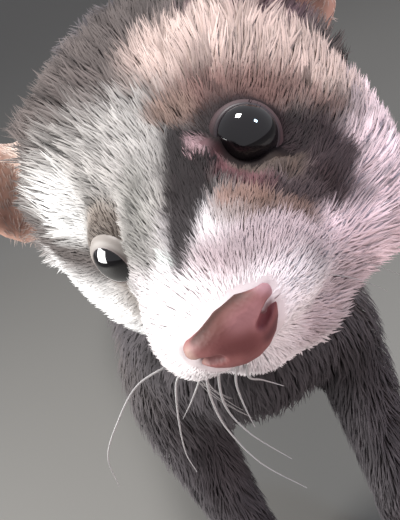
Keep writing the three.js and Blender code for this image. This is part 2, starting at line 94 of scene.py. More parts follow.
def facing_way(out, up):
    """A direction so many degrees out to the left of straight ahead, and so many up."""
    out = math.radians(out)
    up = math.radians(up)
    return np.array([math.sin(out) * math.cos(up), -math.cos(out) * math.cos(up), math.sin(up)])


head_turn = turn("Z", -HEAD_YAW) @ turn("X", -HEAD_PITCH) @ turn("Y", -HEAD_ROLL)
left_axis = facing_way(EYE_AXIS_OUT, EYE_AXIS_UP)
left_eye = np.array([PUPIL_SPACING / 2, 0, 0]) - left_axis * EYE_RADIUS * PUPIL_DEPTH
eyes = {"left": left_eye, "right": left_eye * MIRROR}
eye_axes = {"left": left_axis, "right": left_axis * MIRROR}
between_eyes = left_eye * np.array([0, 1, 1])
head_place = (middle_of("eye_left") + middle_of("eye_right")) / 2 - head_turn @ between_eyes


def to_head(points):
    return (np.asarray(points) - head_place) @ head_turn


def from_head(points):
    return np.asarray(points) @ head_turn.T + head_place


print("pupils' middle, mm:", head_place.round(1))

# %% [markdown]
# The photograph was taken from very near, a little above the animal's face, with the camera
# rolled. The same view is set from those facts: how far the lens is from the eyes, how high
# it looks down, how far it is rolled, and where in the picture the eyes fall.

# %% Camera
FRAME_HEIGHT = 520
FRAME_WIDTH = 400
FOCAL_PIXELS = 953.1
SENSOR = 24
NEAREST = 0.005
CAMERA_ELEVATION = 25
CAMERA_ROLL = 25
EYES_FROM_CAMERA = np.array([-2.44, -6.84, 110])


def in_scene(name, data):
    """A new object in the scene, at the origin and unturned."""
    item = bpy.data.objects.new(name, data)
    bpy.context.scene.collection.objects.link(item)
    return item


def camera_axes(elevation, roll):
    """Columns: right, down and forward in the picture."""
    tip = math.radians(elevation)
    spin = math.radians(roll)
    forward = np.array([0, math.cos(tip), -math.sin(tip)])
    level = np.array([1, 0, 0])
    down = np.cross(forward, level)
    right = math.cos(spin) * level + math.sin(spin) * down
    return np.stack([right, -math.sin(spin) * level + math.cos(spin) * down, forward], 1)


view_axes = camera_axes(CAMERA_ELEVATION, CAMERA_ROLL)
camera_place = head_place - view_axes @ EYES_FROM_CAMERA
camera_data = bpy.data.cameras.new("camera")
camera_data.sensor_fit = "VERTICAL"
camera_data.sensor_height = SENSOR
camera_data.lens = SENSOR * FOCAL_PIXELS / FRAME_HEIGHT
camera_data.clip_start = NEAREST
camera = in_scene("camera", camera_data)
camera_turn = Matrix((view_axes * np.array([1, -1, -1])).tolist()).to_4x4()
camera.matrix_world = Matrix.Translation(Vector(camera_place * MM)) @ camera_turn
bpy.context.scene.camera = camera
print("camera, mm:", camera_place.round(1))

# %% [markdown]
# The eyes are black, wet and nearly round, and the lids close on them tightly. What opens
# between the lids is a circle on the eyeball: a direction and two angles, wide and high. The
# left eye is wide open and stands out more, the right one is half shut against the light. The
# fur must leave both free when the animal is seen from the front, along the line of sight.

# %% Eyes and their openings
BALL_RADIUS = {"left": 4.2, "right": 4.0}
LID_OPEN = {"left": (54, 54), "right": (35, 37)}
LID_FACING = {"left": facing_way(20, 13), "right": facing_way(-38, 2)}
SIGHT = {"left": facing_way(7, 10.5), "right": facing_way(16.6, 10.2)}
CLEARING = {"left": 3.9, "right": 2.2}
LEFT_STANDS_OUT = [0.7, 0.2, 0.1]
balls = {"left": eyes["left"] + LEFT_STANDS_OUT, "right": eyes["right"]}


def before_eye(head_points, name):
    """Offsets from an eye's line of sight, and how far along it points are before the lids."""
    along_axis = BALL_RADIUS[name] * math.cos(math.radians(LID_OPEN[name][0]))
    offset = head_points - balls[name] - LID_FACING[name] * along_axis
    ahead = offset @ SIGHT[name]
    return offset - ahead[:, None] * SIGHT[name], ahead


def near_eye(head_points):
    return np.minimum(*(np.linalg.norm(head_points - eye, axis=1) for eye in eyes.values()))


print("openings, degrees:", LID_OPEN)

# %% [markdown]
# Organic forms could be sculpted with brushes, but here they are copied from the solids,
# remeshed with voxels and relaxed, which is quick and always gives a closed surface. These
# helpers read and move the points of a mesh, apply a modifier to it, and relax it.

# %% Helpers for meshes
WELD = 1e-6


def points_of(mesh):
    values = np.empty(len(mesh.vertices) * 3)
    mesh.vertices.foreach_get("co", values)
    return values.reshape(-1, 3) / MM


def move_points(mesh, points):
    mesh.vertices.foreach_set("co", (points * MM).ravel())
    mesh.update()


def normals_of(mesh):
    values = np.empty(len(mesh.vertices) * 3)
    mesh.vertices.foreach_get("normal", values)
    return values.reshape(-1, 3)


def faces_of(mesh):
    return [face.vertices for face in mesh.polygons]


def finished(shape, name):
    """The mesh of a bmesh, which is freed."""
    mesh = bpy.data.meshes.new(name)
    shape.to_mesh(mesh)
    shape.free()
    return mesh


def evaluated(data, kind=None, **settings):
    """A new mesh from a mesh or curve, with one modifier applied if its kind is given."""
    carrier = in_scene("carrier", data)
    if kind:
        modifier = carrier.modifiers.new(kind, kind)
        for key, value in settings.items():
            setattr(modifier, key, value)
    shaped = carrier.evaluated_get(bpy.context.evaluated_depsgraph_get())
    result = bpy.data.meshes.new_from_object(shaped)
    bpy.data.objects.remove(carrier)
    return result


def remeshed(mesh, size):
    return evaluated(mesh, "REMESH", mode="VOXEL", voxel_size=size * MM)


def relaxed(mesh, rounds, share):
    """Points moved towards the average of their neighbours; share may differ per point."""
    edges = np.empty(len(mesh.edges) * 2, int)
    mesh.edges.foreach_get("vertices", edges)
    here = np.concatenate([edges[::2], edges[1::2]])
    there = np.concatenate([edges[1::2], edges[::2]])
    points = points_of(mesh)
    count = np.maximum(np.bincount(here, minlength=len(points)), 1)
    for _ in range(rounds):
        pull = [np.bincount(here, points[there, axis], len(points)) / count for axis in range(3)]
        points += (np.stack(pull, 1) - points) * share
    move_points(mesh, points)
    return points


def copies_of(nodes, grow):
    """The solids of these nodes in one mesh, each grown a little so that they overlap."""
    shape = bmesh.new()
    for node in nodes:
        part = bmesh.new()
        part.from_mesh(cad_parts[node].data)
        bmesh.ops.remove_doubles(part, verts=part.verts, dist=WELD)
        part.normal_update()
        for vert in part.verts:
            vert.co += vert.normal * grow * MM
        single = finished(part, "part")
        shape.from_mesh(single)
        bpy.data.meshes.remove(single)
    return finished(shape, "copies")


print("weld distance, m:", WELD)

# %% [markdown]
# Nearly every value in the coat fades smoothly into the next: with the distance from an eye,
# with the height over the floor, along the skull. Small functions say so: a value that rises
# over a stretch, one that falls to nothing at an end, and one read from a short table.

# %% Fades
def smooth(x):
    x = np.clip(x, 0, 1)
    return x * x * (3 - 2 * x)


def rising(x, start, stretch):
    return smooth((x - start) / stretch)


def falling(x, end, stretch):
    return smooth((end - x) / stretch)


def by_table(table, x):
    places, values = zip(*table)
    return np.interp(x, places, values)


print("half way:", smooth(0.5))

# %% [markdown]
# The nose leather is a bare patch on the flesh of the nose. Its solid is remeshed finely, and
# its upper edge is pressed under the skin, because the fur of the bridge comes down over it.
# The brow of the nose is that edge: how high it is, from the animal's right to its left.

# %% Shape of the nose leather
NOSE_VOXEL = 0.17
NOSE_GROW = 0.1
NOSE_BROW = [(-5, -6.3), (-2.5, -6.1), (0, -5.7), (2.5, -5.8), (4.2, -6.6), (6, -7.2)]
NOSE_PRESS = 0.3
NOSE_BACK = 0.5
NOSE_REGION = -13
NOSE_FAR = 9.0
nose_mesh = remeshed(copies_of(["nose"], NOSE_GROW), NOSE_VOXEL)
nose_mesh.materials.clear()
nose_points = to_head(relaxed(nose_mesh, rounds=5, share=0.5))
flesh_tree = BVHTree.FromPolygons(from_head(nose_points).tolist(), faces_of(nose_mesh))
above = np.maximum(nose_points[:, 2] - by_table(NOSE_BROW, nose_points[:, 0]), 0)
nose_points += np.stack([0 * above, above * NOSE_BACK, -above * (1 - NOSE_PRESS)], 1)
move_points(nose_mesh, from_head(nose_points))
nose_tree = BVHTree.FromPolygons(from_head(nose_points).tolist(), faces_of(nose_mesh))


def near_nose(points):
    """Distance to the nose leather, or just far where it doesn't matter."""
    gap = np.full(len(points), NOSE_FAR)
    close = to_head(points)[:, 1] < NOSE_REGION
    gap[close] = [nose_tree.find_nearest(point)[3] for point in points[close]]
    return gap


print("nose leather:", len(nose_mesh.polygons), "faces")

# %% [markdown]
# The ears are thin bowls with hardly any hair on them, so the coat has to know how far it is
# from their solids. A tree of their points answers that quickly.

# %% Distance to the ears
EAR_FAR = 24
SIDES = ("left", "right")


def tree_of(points):
    tree = KDTree(len(points))
    for index, point in enumerate(points):
        tree.insert(point, index)
    tree.balance()
    return tree


ear_middles = {side: middle_of(f"ear_{side}") for side in SIDES}
ear_tree = tree_of(np.concatenate([points_of(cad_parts[f"ear_{side}"].data) for side in ear_middles]))


def from_ear_middle(points):
    return np.minimum(*(np.linalg.norm(points - middle, axis=1) for middle in ear_middles.values()))


def near_ear(points):
    """Distance to the solids of the ears, or just far where it doesn't matter."""
    gap = np.full(len(points), float(EAR_FAR))
    close = from_ear_middle(points) < EAR_FAR
    gap[close] = [ear_tree.find(point)[2] for point in points[close]]
    return gap


print("ears' middles, mm:", {side: middle.round(1) for side, middle in ear_middles.items()})

# %% [markdown]
# Hair grows in streams: from the nose back over the skull, along the spine to the tail, and
# down each leg to the toes. Each stream is a line between two places on the solids, with the
# coat's depth and the length of a tuft at its start and end. Any point of the skin takes a
# mix of the nearest streams, so nothing changes suddenly.

# %% Streams of the coat
KINDS = ("front", "hind")
STREAM_CORE = 9


def corner_of(node, share):
    """The place at these shares of a node's box."""
    low, high = (np.array(corner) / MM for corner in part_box(node))
    return low + (high - low) * np.array(share)


def stream(start, end, depth, length):
    lie = (end - start) / np.linalg.norm(end - start)
    return {"start": start, "end": end, "depth": depth, "length": length, "lie": lie}


skull_back = from_head([0, 32, 2])
neck_middle = middle_of("neck")
shoulders = corner_of("chest", [0.5, 0.42, 0.45])
loin = corner_of("loin_and_hips", [0.5, 0.45, 0.55])
tail_root = corner_of("tail", [0.28, 0.0, 0.82])
tail_middle = corner_of("tail", [0.36, 0.55, 0.42])
tail_tip = corner_of("tail", [0.95, 1.0, 0.16])
# Each stream: its start and end, the coat's depth at both, and the tufts' length at both
streams = [
    stream(skull_back, neck_middle, (3.2, 6), (6, 10)),
    stream(neck_middle, shoulders, (6, 7), (10, 14)),
    stream(shoulders, loin, (7.5, 8), (14, 17)),
    stream(loin, tail_root, (8, 7), (17, 15)),
    stream(tail_root, tail_middle, (7, 8), (15, 18)),
    stream(tail_middle, tail_tip, (8, 2), (18, 4)),
]
for kind in KINDS:
    for side in SIDES:
        hip = corner_of(f"{kind}_upper_leg_{side}", [0.5, 0.5, 0.7])
        knee = middle_of(f"{kind}_lower_leg_{side}")
        ankle = corner_of(f"{kind}_foot_{side}", [0.5, 0.75, 1.0])
        toes = corner_of(f"{kind}_foot_{side}", [0.5, 0.25, 0.25])
        streams.append(stream(hip, knee, (5, 2.4), (11, 7)))
        streams.append(stream(knee, ankle, (2.4, 1.0), (7, 3.5)))
        streams.append(stream(ankle, toes, (0.9, 0.7), (3, 2)))
print("streams:", len(streams))


def body_streams(points):
    """Lie, coat depth and tuft length at points of the body."""
    lie = np.zeros((len(points), 3))
    sizes = np.zeros((len(points), 2))
    total = np.zeros((len(points), 1))
    for line in streams:
        span = line["end"] - line["start"]
        share = np.clip((points - line["start"]) @ span / (span @ span), 0, 1)[:, None]
        gap = np.linalg.norm(points - line["start"] - share * span, axis=1, keepdims=True)
        weight = 1 / (gap ** 2 + STREAM_CORE) ** 2
        ends = np.array([line["depth"], line["length"]]).T
        lie += weight * line["lie"]
        sizes += weight * (ends[0] + (ends[1] - ends[0]) * share)
        total += weight
    return lie / total, sizes / total


# %% [markdown]
# On the head the hair runs away from the nose in every direction, and it is much shorter:
# about a millimetre deep on the muzzle, two or three on the forehead and cheeks, nothing on
# the lids. Behind the ears the head's values pass into the body's. Each pair in capitals is a
# fade: where it starts or ends, and over how many millimetres.

# %% The coat of the head
NOSE_TIP = np.array([0, -27, -8])
HEAD_DEPTH = [(-26, 0.3), (-20, 0.7), (-14, 1.0), (-4, 1.6), (6, 2.3), (18, 3.0), (34, 3.4)]
HEAD_LENGTH = [(-26, 1.0), (-20, 1.9), (-14, 2.8), (-4, 4.2), (6, 5.4), (18, 6.4), (34, 7.5)]
SHORTEST_DEPTH = 0.12
HEAD_BACK = (40, 16)
HEAD_ROUND = (34, 6)
LID_SKIN = (5.4, 4.5)
BEFORE_LIDS = (-1, 2)
BEFORE_ALL = (12, 4)
SIGHT_EDGE = (2.4, 2)
SHORT_AT_EYE = (5, 8)
LONG_SHARE = 0.7
ROUND_EYE = (9.5, 5)
ROUND_PULL = 0.9
NOSE_FRINGE = (0, 2.2)
BARE_EAR = (1.6, 4)
EAR_SHARE = 0.24


def coat_at(points):
    """Lie, depth and tuft length at any points of the skin."""
    lie, sizes = body_streams(points)
    head_points = to_head(points)
    eye_gap = near_eye(head_points)
    y = head_points[:, 1]
    on_head = falling(y, *HEAD_BACK) * falling(eye_gap, *HEAD_ROUND)
    open_skin = rising(eye_gap, *LID_SKIN)
    for name in eyes:
        aside, ahead = before_eye(head_points, name)
        edge, fade = SIGHT_EDGE
        shaded = rising(ahead, *BEFORE_LIDS) * falling(ahead, *BEFORE_ALL)
        open_skin *= 1 - shaded * falling(np.linalg.norm(aside, axis=1), CLEARING[name] + edge, fade)
    head_length = by_table(HEAD_LENGTH, y) * (1 - LONG_SHARE + LONG_SHARE * rising(eye_gap, *SHORT_AT_EYE))
    away = head_points - NOSE_TIP
    away /= np.linalg.norm(away, axis=1, keepdims=True)
    for eye in eyes.values():
        from_eye = head_points - eye
        gap = np.linalg.norm(from_eye, axis=1, keepdims=True)
        away += from_eye / gap * ROUND_PULL * falling(gap, *ROUND_EYE)
    mix = on_head[:, None]
    lie = lie * (1 - mix) + (away @ head_turn.T) * mix
    head_depth = by_table(HEAD_DEPTH, y) * open_skin * rising(near_nose(points), *NOSE_FRINGE)
    head_depth = np.maximum(head_depth, SHORTEST_DEPTH)
    depth = sizes[:, 0] * (1 - on_head) + head_depth * on_head
    length = sizes[:, 1] * (1 - on_head) + head_length * on_head
    ear = rising(near_ear(points), *BARE_EAR)
    return lie, depth * ear, length * (EAR_SHARE + (1 - EAR_SHARE) * ear)


_, forehead_depth, forehead_length = coat_at(from_head([[0, 6, 12]]))
print("forehead, depth and tuft, mm:", forehead_depth.round(1), forehead_length.round(1))

# %% [markdown]
# The skin is one closed surface. The head needs fine voxels for its lids, lips and ears, the
# trunk doesn't, so each is remeshed at its own scale from copies of its solids, smoothed, and
# drawn in by the depth of the coat. Each neck end is slimmed so that it ends inside the other
# skin, and flesh that stands before an eye is drawn aside.

# %% Head skin
HEAD_VOXEL = 0.6
GROW = 0.22
NECK_AXIS = (shoulders - neck_middle) / np.linalg.norm(shoulders - neck_middle)
CROSSING = 22
SLIMMING = 0.55
STUMP_END = 2
BEFORE_BALL = (-0.6, 1.2)
BEFORE_FACE = (13, 4)
BALL_MARGIN = 0.1
TINY = 0.05
FIRM_EYE = (5.5, 3)
FIRM_EAR = (-1, 8)
FIRM_NOSE = (-23, 9)
LEAST_RELAXED = 0.08
MORE_RELAXED = 0.42


def drawn_in(mesh):
    """Move the mesh inwards by the depth of the coat."""
    points = points_of(mesh)
    _, depth, _ = coat_at(points)
    move_points(mesh, points - normals_of(mesh) * depth[:, None])


def slimmed_stump(mesh, direction):
    """Draw the cut end of a neck together."""
    points = points_of(mesh)
    along = (points - neck_middle) @ NECK_AXIS * direction
    end = points[along > along.max() - STUMP_END].mean(0)
    outward = points - end
    outward -= (outward @ NECK_AXIS)[:, None] * NECK_AXIS
    share = smooth((along - along.max() + CROSSING) / CROSSING) * SLIMMING
    move_points(mesh, points - outward * share[:, None])


def parted(points):
    """Flesh that stands before the eyes drawn aside, so that both openings show."""
    for name in eyes:
        head = to_head(points)
        aside, ahead = before_eye(head, name)
        gap = np.maximum(np.linalg.norm(aside, axis=1), TINY)
        front = rising(ahead, *BEFORE_BALL) * falling(ahead, *BEFORE_FACE)
        front *= np.linalg.norm(head - balls[name], axis=1) > BALL_RADIUS[name] + BALL_MARGIN
        wanted = (gap ** 4 + (CLEARING[name] * front) ** 4) ** 0.25
        points = from_head(head + aside * (wanted / gap - 1)[:, None])
    return points


head_skin = remeshed(copies_of(["head", "neck", "ear_left", "ear_right", "nose"], GROW), HEAD_VOXEL)
points = points_of(head_skin)
head_points = to_head(points)
firm = rising(near_eye(head_points), *FIRM_EYE) * rising(near_ear(points), *FIRM_EAR)
firm *= rising(head_points[:, 1], *FIRM_NOSE)
relaxed(head_skin, rounds=40, share=(LEAST_RELAXED + MORE_RELAXED * firm)[:, None])
slimmed_stump(head_skin, direction=1)
move_points(head_skin, parted(points_of(head_skin)))
drawn_in(head_skin)
points = parted(relaxed(head_skin, rounds=6, share=0.4))
print("head skin:", len(head_skin.polygons), "faces")

# %% [markdown]
# The eyeballs sit in sockets. Inside the opening the skin has to stay under the ball, and from
# the lid's edge outwards it may stand higher and higher, so the limit is a table: angle past
# the edge, and height as a share of the ball's radius. The skin also sinks a little under the
# nose leather, except at its brow.

# %% Sockets and the bed of the nose
SOCKET = [(-8, 0.8), (6, 0.94), (14, 0.98), (30, 1.08), (50, 1.3), (66, 1.55), (90, 2.2)]
SOCKET_ROUND = (9, 2)
NOSE_BED = 0.4
BED_EDGE = (0.55, 0.4)
BED_BROW = (-0.2, 0.8)
for name, ball in balls.items():
    outward = to_head(points) - ball
    gap = np.linalg.norm(outward, axis=1)
    angle = np.degrees(np.arccos(np.clip(outward @ LID_FACING[name] / gap, -1, 1)))
    limit = by_table(SOCKET, angle - LID_OPEN[name][0]) * BALL_RADIUS[name]
    shrink = 1 - falling(gap, *SOCKET_ROUND) * (1 - np.minimum(limit / gap, 1))
    points = from_head(ball + outward * shrink[:, None])
move_points(head_skin, points)
head_points = to_head(points)
under_brow = by_table(NOSE_BROW, head_points[:, 0]) - head_points[:, 2]
sink = NOSE_BED * falling(near_nose(points), *BED_EDGE) * rising(under_brow, *BED_BROW)
points -= normals_of(head_skin) * sink[:, None]
move_points(head_skin, points)
print("sunk under the nose leather:", int((sink > 0).sum()), "points")

# %% [markdown]
# Trunk, tail and legs are long smooth forms, so coarse voxels and more rounds of relaxing
# serve them better than detail would.

# %% Trunk and legs
BODY_VOXEL = 1.8
leg_nodes = [f"{kind}_{part}_leg_{side}" for kind in KINDS for part in ("upper", "lower") for side in SIDES]
body_skin = remeshed(copies_of(["neck", "chest", "loin_and_hips", "tail", *leg_nodes], GROW), BODY_VOXEL)
relaxed(body_skin, rounds=14, share=0.5)
slimmed_stump(body_skin, direction=-1)
drawn_in(body_skin)
relaxed(body_skin, rounds=8, share=0.5)
print("body skin:", len(body_skin.polygons), "faces")

# %% [markdown]
# A ferret walks on five toes and a soft sole. Each paw is modelled as strings of balls along
# the toes and the palm, which a voxel remesh melts into one form, and is then cut flat where
# it stands. The claws come later as horn of their own.

# %% Feet
FOOT_VOXEL = 0.7
TOE_SPREAD = (-8.6, -5.9, -2.1, 2.2, 6.0)
TOE_REACH = (4.5, 10.5, 13, 13, 10.5)
TOE_TURN = (-16, -9, -3, 3, 10)
TOE_RADIUS = 2.55
TOE_ROOT = 4
# Along a toe: at which share of it each ball is, how high, and how much thicker than the toe
TOE_BALLS = ((0.1, 4.1, 1), (0.35, 4.2, 1), (0.6, 4.0, 1.04), (0.85, 3.1, 1))
# Along a palm: how far back each ball is, how high, and its radius
PALMS = {
    "front": [(9, 20, 5.4), (9, 12, 5.7), (3, 6.2, 6.6), (-4, 4.4, 4.6)],
    "hind": [(26, 27, 5.2), (25, 22, 5.5), (14, 10.5, 6.0), (3, 6, 6.2), (-4, 4.4, 4.8)],
}
PALM_SHARES = (0, 0.35, 0.7, 1)
PADS = ((-3.2, -3, 4.2), (3.2, -3, 4.2))
PAD_RADIUS = 4.4
LENGTHEN = {"front": 1.0, "hind": 1.12}
CLAW_REACH = 4.0
FOOT_OFFSET = 0.2
SOLE = 0.35


def foot_place(kind, side):
    """The floor under the ball of a foot, and the mirror that makes its outside point outwards."""
    low, high = (np.array(corner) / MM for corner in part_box(f"{kind}_foot_{side}"))
    outward = 1 if side == "left" else -1
    front = TOE_REACH[2] * LENGTHEN[kind] + CLAW_REACH
    place = np.array([(low[0] + high[0]) / 2 + FOOT_OFFSET * outward, low[1] + front, 0])
    return place, np.array([outward, 1, 1])


def toe_point(kind, toe, share, height):
    """A point along a toe, from its root at 0 to its tip at 1."""
    angle = math.radians(TOE_TURN[toe])
    reach = TOE_REACH[toe] * LENGTHEN[kind]
    x = TOE_SPREAD[toe] + math.sin(angle) * reach * share
    return np.array([x, TOE_ROOT - math.cos(angle) * (reach + TOE_ROOT) * share, height])


def foot_balls(kind):
    """Centres and radii of the balls that make up one foot."""
    palm = PALMS[kind]
    for (y0, z0, r0), (y1, z1, r1) in zip(palm, palm[1:]):
        for share in PALM_SHARES:
            yield np.array([0, y0 + (y1 - y0) * share, z0 + (z1 - z0) * share]), r0 + (r1 - r0) * share
    for pad in PADS:
        yield np.array(pad), PAD_RADIUS
    for toe in range(len(TOE_SPREAD)):
        for share, height, swell in TOE_BALLS:
            yield toe_point(kind, toe, share, height), TOE_RADIUS * swell


feet = bmesh.new()
for kind in KINDS:
    for side in SIDES:
        place, mirror = foot_place(kind, side)
        for centre, radius in foot_balls(kind):
            spot = Matrix.Translation(Vector((centre * mirror + place) * MM))
            bmesh.ops.create_icosphere(feet, subdivisions=3, radius=radius * MM, matrix=spot)
feet_skin = remeshed(finished(feet, "feet"), FOOT_VOXEL)
points = relaxed(feet_skin, rounds=3, share=0.4)
points[:, 2] = np.maximum(points[:, 2], SOLE)
move_points(feet_skin, points)
print("feet skin:", len(feet_skin.polygons), "faces")

# %% [markdown]
# Joining the three skins by a boolean keeps the detail of each, where one remesh of all would
# need the finest voxels everywhere.

# %% One skin
def united(first, second):
    other = in_scene("other", second)
    result = evaluated(first, "BOOLEAN", operation="UNION", solver="MANIFOLD", object=other)
    bpy.data.objects.remove(other)
    return result


skin_mesh = united(united(body_skin, head_skin), feet_skin)
skin_mesh = evaluated(skin_mesh, "TRIANGULATE")
print("skin:", len(skin_mesh.polygons), "triangles")

# %% [markdown]
# Markings. A sable ferret has a cream undercoat and dark guard hairs, a white muzzle, silver
# on the forehead and a dark mask at the eyes. Some spots are painted light and shade instead. Each
# marking or patch of painted light or shade is a string of round spots in the head's frame with
# soft edges, so that skin and coat can both ask for the colour of a place.

# %% Colours
SCREEN_GAMMA = 2.2


def tint(red, green, blue):
    """A colour named as it looks on a screen, made linear."""
    return (np.array([red, green, blue]) / 255) ** SCREEN_GAMMA


def spotted(points, spots, soft):
    """1 inside a string of spots, each (centre, radius), 0 beyond their soft edge."""
    best = np.full(len(points), -np.inf)
    for (start, r0), (end, r1) in zip(spots, spots[1:]):
        start = np.array(start, float)
        span = np.array(end, float) - start
        share = np.clip((points - start) @ span / (span @ span), 0, 1)
        gap = np.linalg.norm(points - start - share[:, None] * span, axis=1)
        best = np.maximum(best, r0 + (r1 - r0) * share - gap)
    return smooth(best / soft + 0.5)


def over(base, colour, mask):
    return base + (colour - base) * mask[:, None]


print("a middle grey:", tint(128, 128, 128).round(3))

# %% [markdown]
# The near eye has a dark mask that runs back to the cheek, a brown tear line and a stripe down
# the bridge of the nose. The far side is silver and white, and its mask, brow and lid are painted
# paler, as the left lamp would light them. The near cheek, muzzle side and jaw have painted rosy
# and grey shade, and the hollow before the near ear has painted shade. Hair carries the colour of
# its root and lies away from the nose, so every spot is set a little nearer to the nose than it shows.

# %% Places of the markings
MASK = [((11.5, 1, 1.5), 5.4), ((14.6, 0, -4), 5.2), ((15.6, -1.6, -7.3), 4.4), ((14.5, -5.8, -9.9), 3.0)]
MASK_LOW = [((13.4, -7.5, -7), 4.2), ((11.6, -10.8, -6), 3.0), ((9.6, -10.4, -4.8), 2.2)]
MASK_TOP = [((5.4, 2.1, 7.2), 1.8), ((9.2, 4.8, 6.2), 2.2), ((13.8, 6.4, 2.6), 2.4),
            ((18.3, 6.6, -1.4), 2.2), ((19.6, 4.6, -5.1), 2.4)]
INNER_CORNER = [((5.4, 2.1, 7.2), 2.0), ((7.3, 3.5, 6.7), 1.6)]
UNDER_EYE = [((8.8, -5.4, -1.8), 2.2), ((10.4, -5.8, -3.8), 2.8), ((12.2, -3.2, -4), 2.2)]
TEAR = [((6.6, -3, 3), 2.2), ((7.4, -7.2, 0.2), 2.6), ((8.2, -9.4, -2.6), 1.9)]
TEAR_END = [((6.4, -13, -1.6), 1.9), ((8.4, -13, -3.2), 1.7)]
# Pale pink skin at the tear duct, with a painted wet highlight on it
TEAR_SPOT_AND_HIGHLIGHT = [((6.6, -0.5, 3.5), 1.0), ((5.7, -4.2, 2.4), 1.2)]
FRINGE = [((5.2, -15.6, -1.4), 1.4), ((6.8, -15.8, -2.8), 1.2), ((9.6, -13.8, -4.6), 1.6),
          ((11.6, -13.6, -7.2), 1.8)]
BRIDGE = [((6.1, -1.5, 4.8), 2.8), ((5, -6.2, 3), 3.0), ((2.9, -11.4, 1.2), 2.6),
          ((0.9, -15, -0.3), 2.1), ((-0.7, -17.6, -2), 1.2)]
BRIDGE_SIDE = [((-1.8, -5, 5), 2.4), ((-3.6, -9.8, 1.2), 2.8), ((-3.2, -14.2, -0.6), 2.2)]
STREAK = [((-2.1, -15.5, -0.8), 0.8), ((-1.4, -17, -1.6), 0.8)]
# The far eye's mask, painted paler where the left lamp washes it out: part marking, part painted light
FAR_MASK_PAINTED_PALE = [((-10, 0.5, 3), 3.7), ((-12.5, 1, -2), 4.8), ((-14, 1.4, -6), 4.6)]
BROW = [((10, 10, 11), 6), ((17, 11.5, 5.5), 6), ((21.5, 11, -1), 6.5), ((22.5, 12, -8), 4)]
MUZZLE = [((0, -19, -8), 8.6), ((0, -13, -9.5), 9.6)]
# Painted shade: grey on the near side of the white muzzle, which faces away from the left lamp
MUZZLE_SIDE_PAINTED_SHADE = [((1.8, -18.4, -3.2), 2.2), ((3.9, -20, -3.8), 3.2), ((7.1, -18.6, -4.7), 3.6),
               ((9.6, -15.8, -7), 3.2)]
# Painted shade: grey under the near side of the white jaw
JAW_SIDE_PAINTED_SHADE = [((4.6, -15.4, -15.4), 3.4), ((7.4, -11.6, -15.4), 3.6)]
# The near cheek's white fur, with a painted rosy shade on it
NEAR_CHEEK_ROSY_SHADE = [((12, -8, -12), 8), ((18, 4, -19), 9), ((23, 18, -15), 7.5)]
FAR_CHEEK = [((-12, -8, -10), 8), ((-18, 4, -14), 10), ((-23, 18, -8), 10)]
# Painted light: the far brow painted pure white, as if the left lamp blew it out
FAR_BROW_PAINTED_LIGHT = [((-11.5, 6.5, 9.6), 2.6), ((-14, 7.3, 6), 3.0)]
TEMPLE = [((-7.8, -3, 3.6), 2.0), ((-9.5, 2.6, 5), 1.0)]
# Painted shade: the dark hollow in front of the near ear
EAR_FRONT_PAINTED_SHADE = [((14, 17, 11.5), 2.4), ((16.8, 17.8, 8.6), 3.2), ((20, 20, 3.8), 3.4), ((24.5, 27, 3), 3.4)]
FOREHEAD = [((-4, -8, 4), 6), ((-1, 0, 9), 7.5), ((-11, 5, 9), 7)]
NOSTRIL_BED = [((3.2, -23.6, -9.1), 0.8), ((4.2, -22.9, -8.9), 0.6)]
FAR_NOSTRIL_BED = [(np.array(spot) * MIRROR, radius) for spot, radius in NOSTRIL_BED]

# Each marking or patch of painted light or shade: its spots, how soft its edge is, its root and tip colours
# and its strength
FACE_MARKINGS_AND_PAINTED_LIGHT = (
    (FOREHEAD, 7, (80, 76, 74), (168, 164, 161), 1),
    (TEMPLE, 4, (112, 98, 88), (150, 138, 126), 0.8),
    (BROW, 5, (132, 110, 102), (193, 172, 164), 1),
    (NEAR_CHEEK_ROSY_SHADE, 6, (206, 179, 184), (231, 210, 215), 1),
    (FAR_BROW_PAINTED_LIGHT, 4, (225, 222, 220), (255, 254, 253), 1),
    (EAR_FRONT_PAINTED_SHADE, 4, (60, 42, 46), (104, 82, 88), 0.85),
    (FAR_CHEEK, 6, (190, 184, 182), (246, 245, 245), 1),
    (MUZZLE, 3.5, (238, 226, 228), (248, 242, 244), 1),
    (MUZZLE_SIDE_PAINTED_SHADE, 5, (156, 139, 142), (172, 155, 159), 1),
    (JAW_SIDE_PAINTED_SHADE, 5, (156, 139, 142), (172, 155, 159), 0.9),
    (MASK_TOP, 2.6, (80, 56, 53), (116, 90, 84), 0.9),
    (INNER_CORNER, 2.4, (90, 74, 66), (132, 111, 101), 0.85),
    (FAR_MASK_PAINTED_PALE, 4, (66, 58, 54), (128, 118, 110), 0.8),
    (MASK, 3.2, (28, 20, 21), (46, 36, 38), 0.97),
    (MASK_LOW, 3, (32, 24, 24), (52, 41, 42), 0.96),
    (UNDER_EYE, 2.4, (56, 46, 42), (88, 76, 69), 0.9),
    (TEAR, 2.4, (72, 45, 48), (100, 69, 72), 0.92),
    (TEAR_END, 2, (100, 75, 66), (136, 106, 95), 0.88),
    (FRINGE, 2.2, (66, 50, 44), (104, 82, 72), 0.85),
    (BRIDGE_SIDE, 2.8, (78, 76, 74), (128, 126, 122), 0.85),
    (STREAK, 1, (190, 206, 200), (222, 236, 230), 0.8),
    (BRIDGE, 1.8, (20, 15, 16), (32, 25, 27), 0.97),
    (TEAR_SPOT_AND_HIGHLIGHT, 1.4, (128, 98, 102), (180, 150, 154), 0.8),
    (NOSTRIL_BED, 0.8, (92, 48, 50), (92, 48, 50), 0.95),
    (FAR_NOSTRIL_BED, 0.8, (92, 48, 50), (92, 48, 50), 0.95),
)
print("markings:", len(FACE_MARKINGS_AND_PAINTED_LIGHT))

# %% [markdown]
# Under the face's markings lie those of the body: dark cape, legs and tail, paler flanks and
# back, a brown skull and nearly bare, pale-rimmed ears. Every hair has a root and a tip colour.

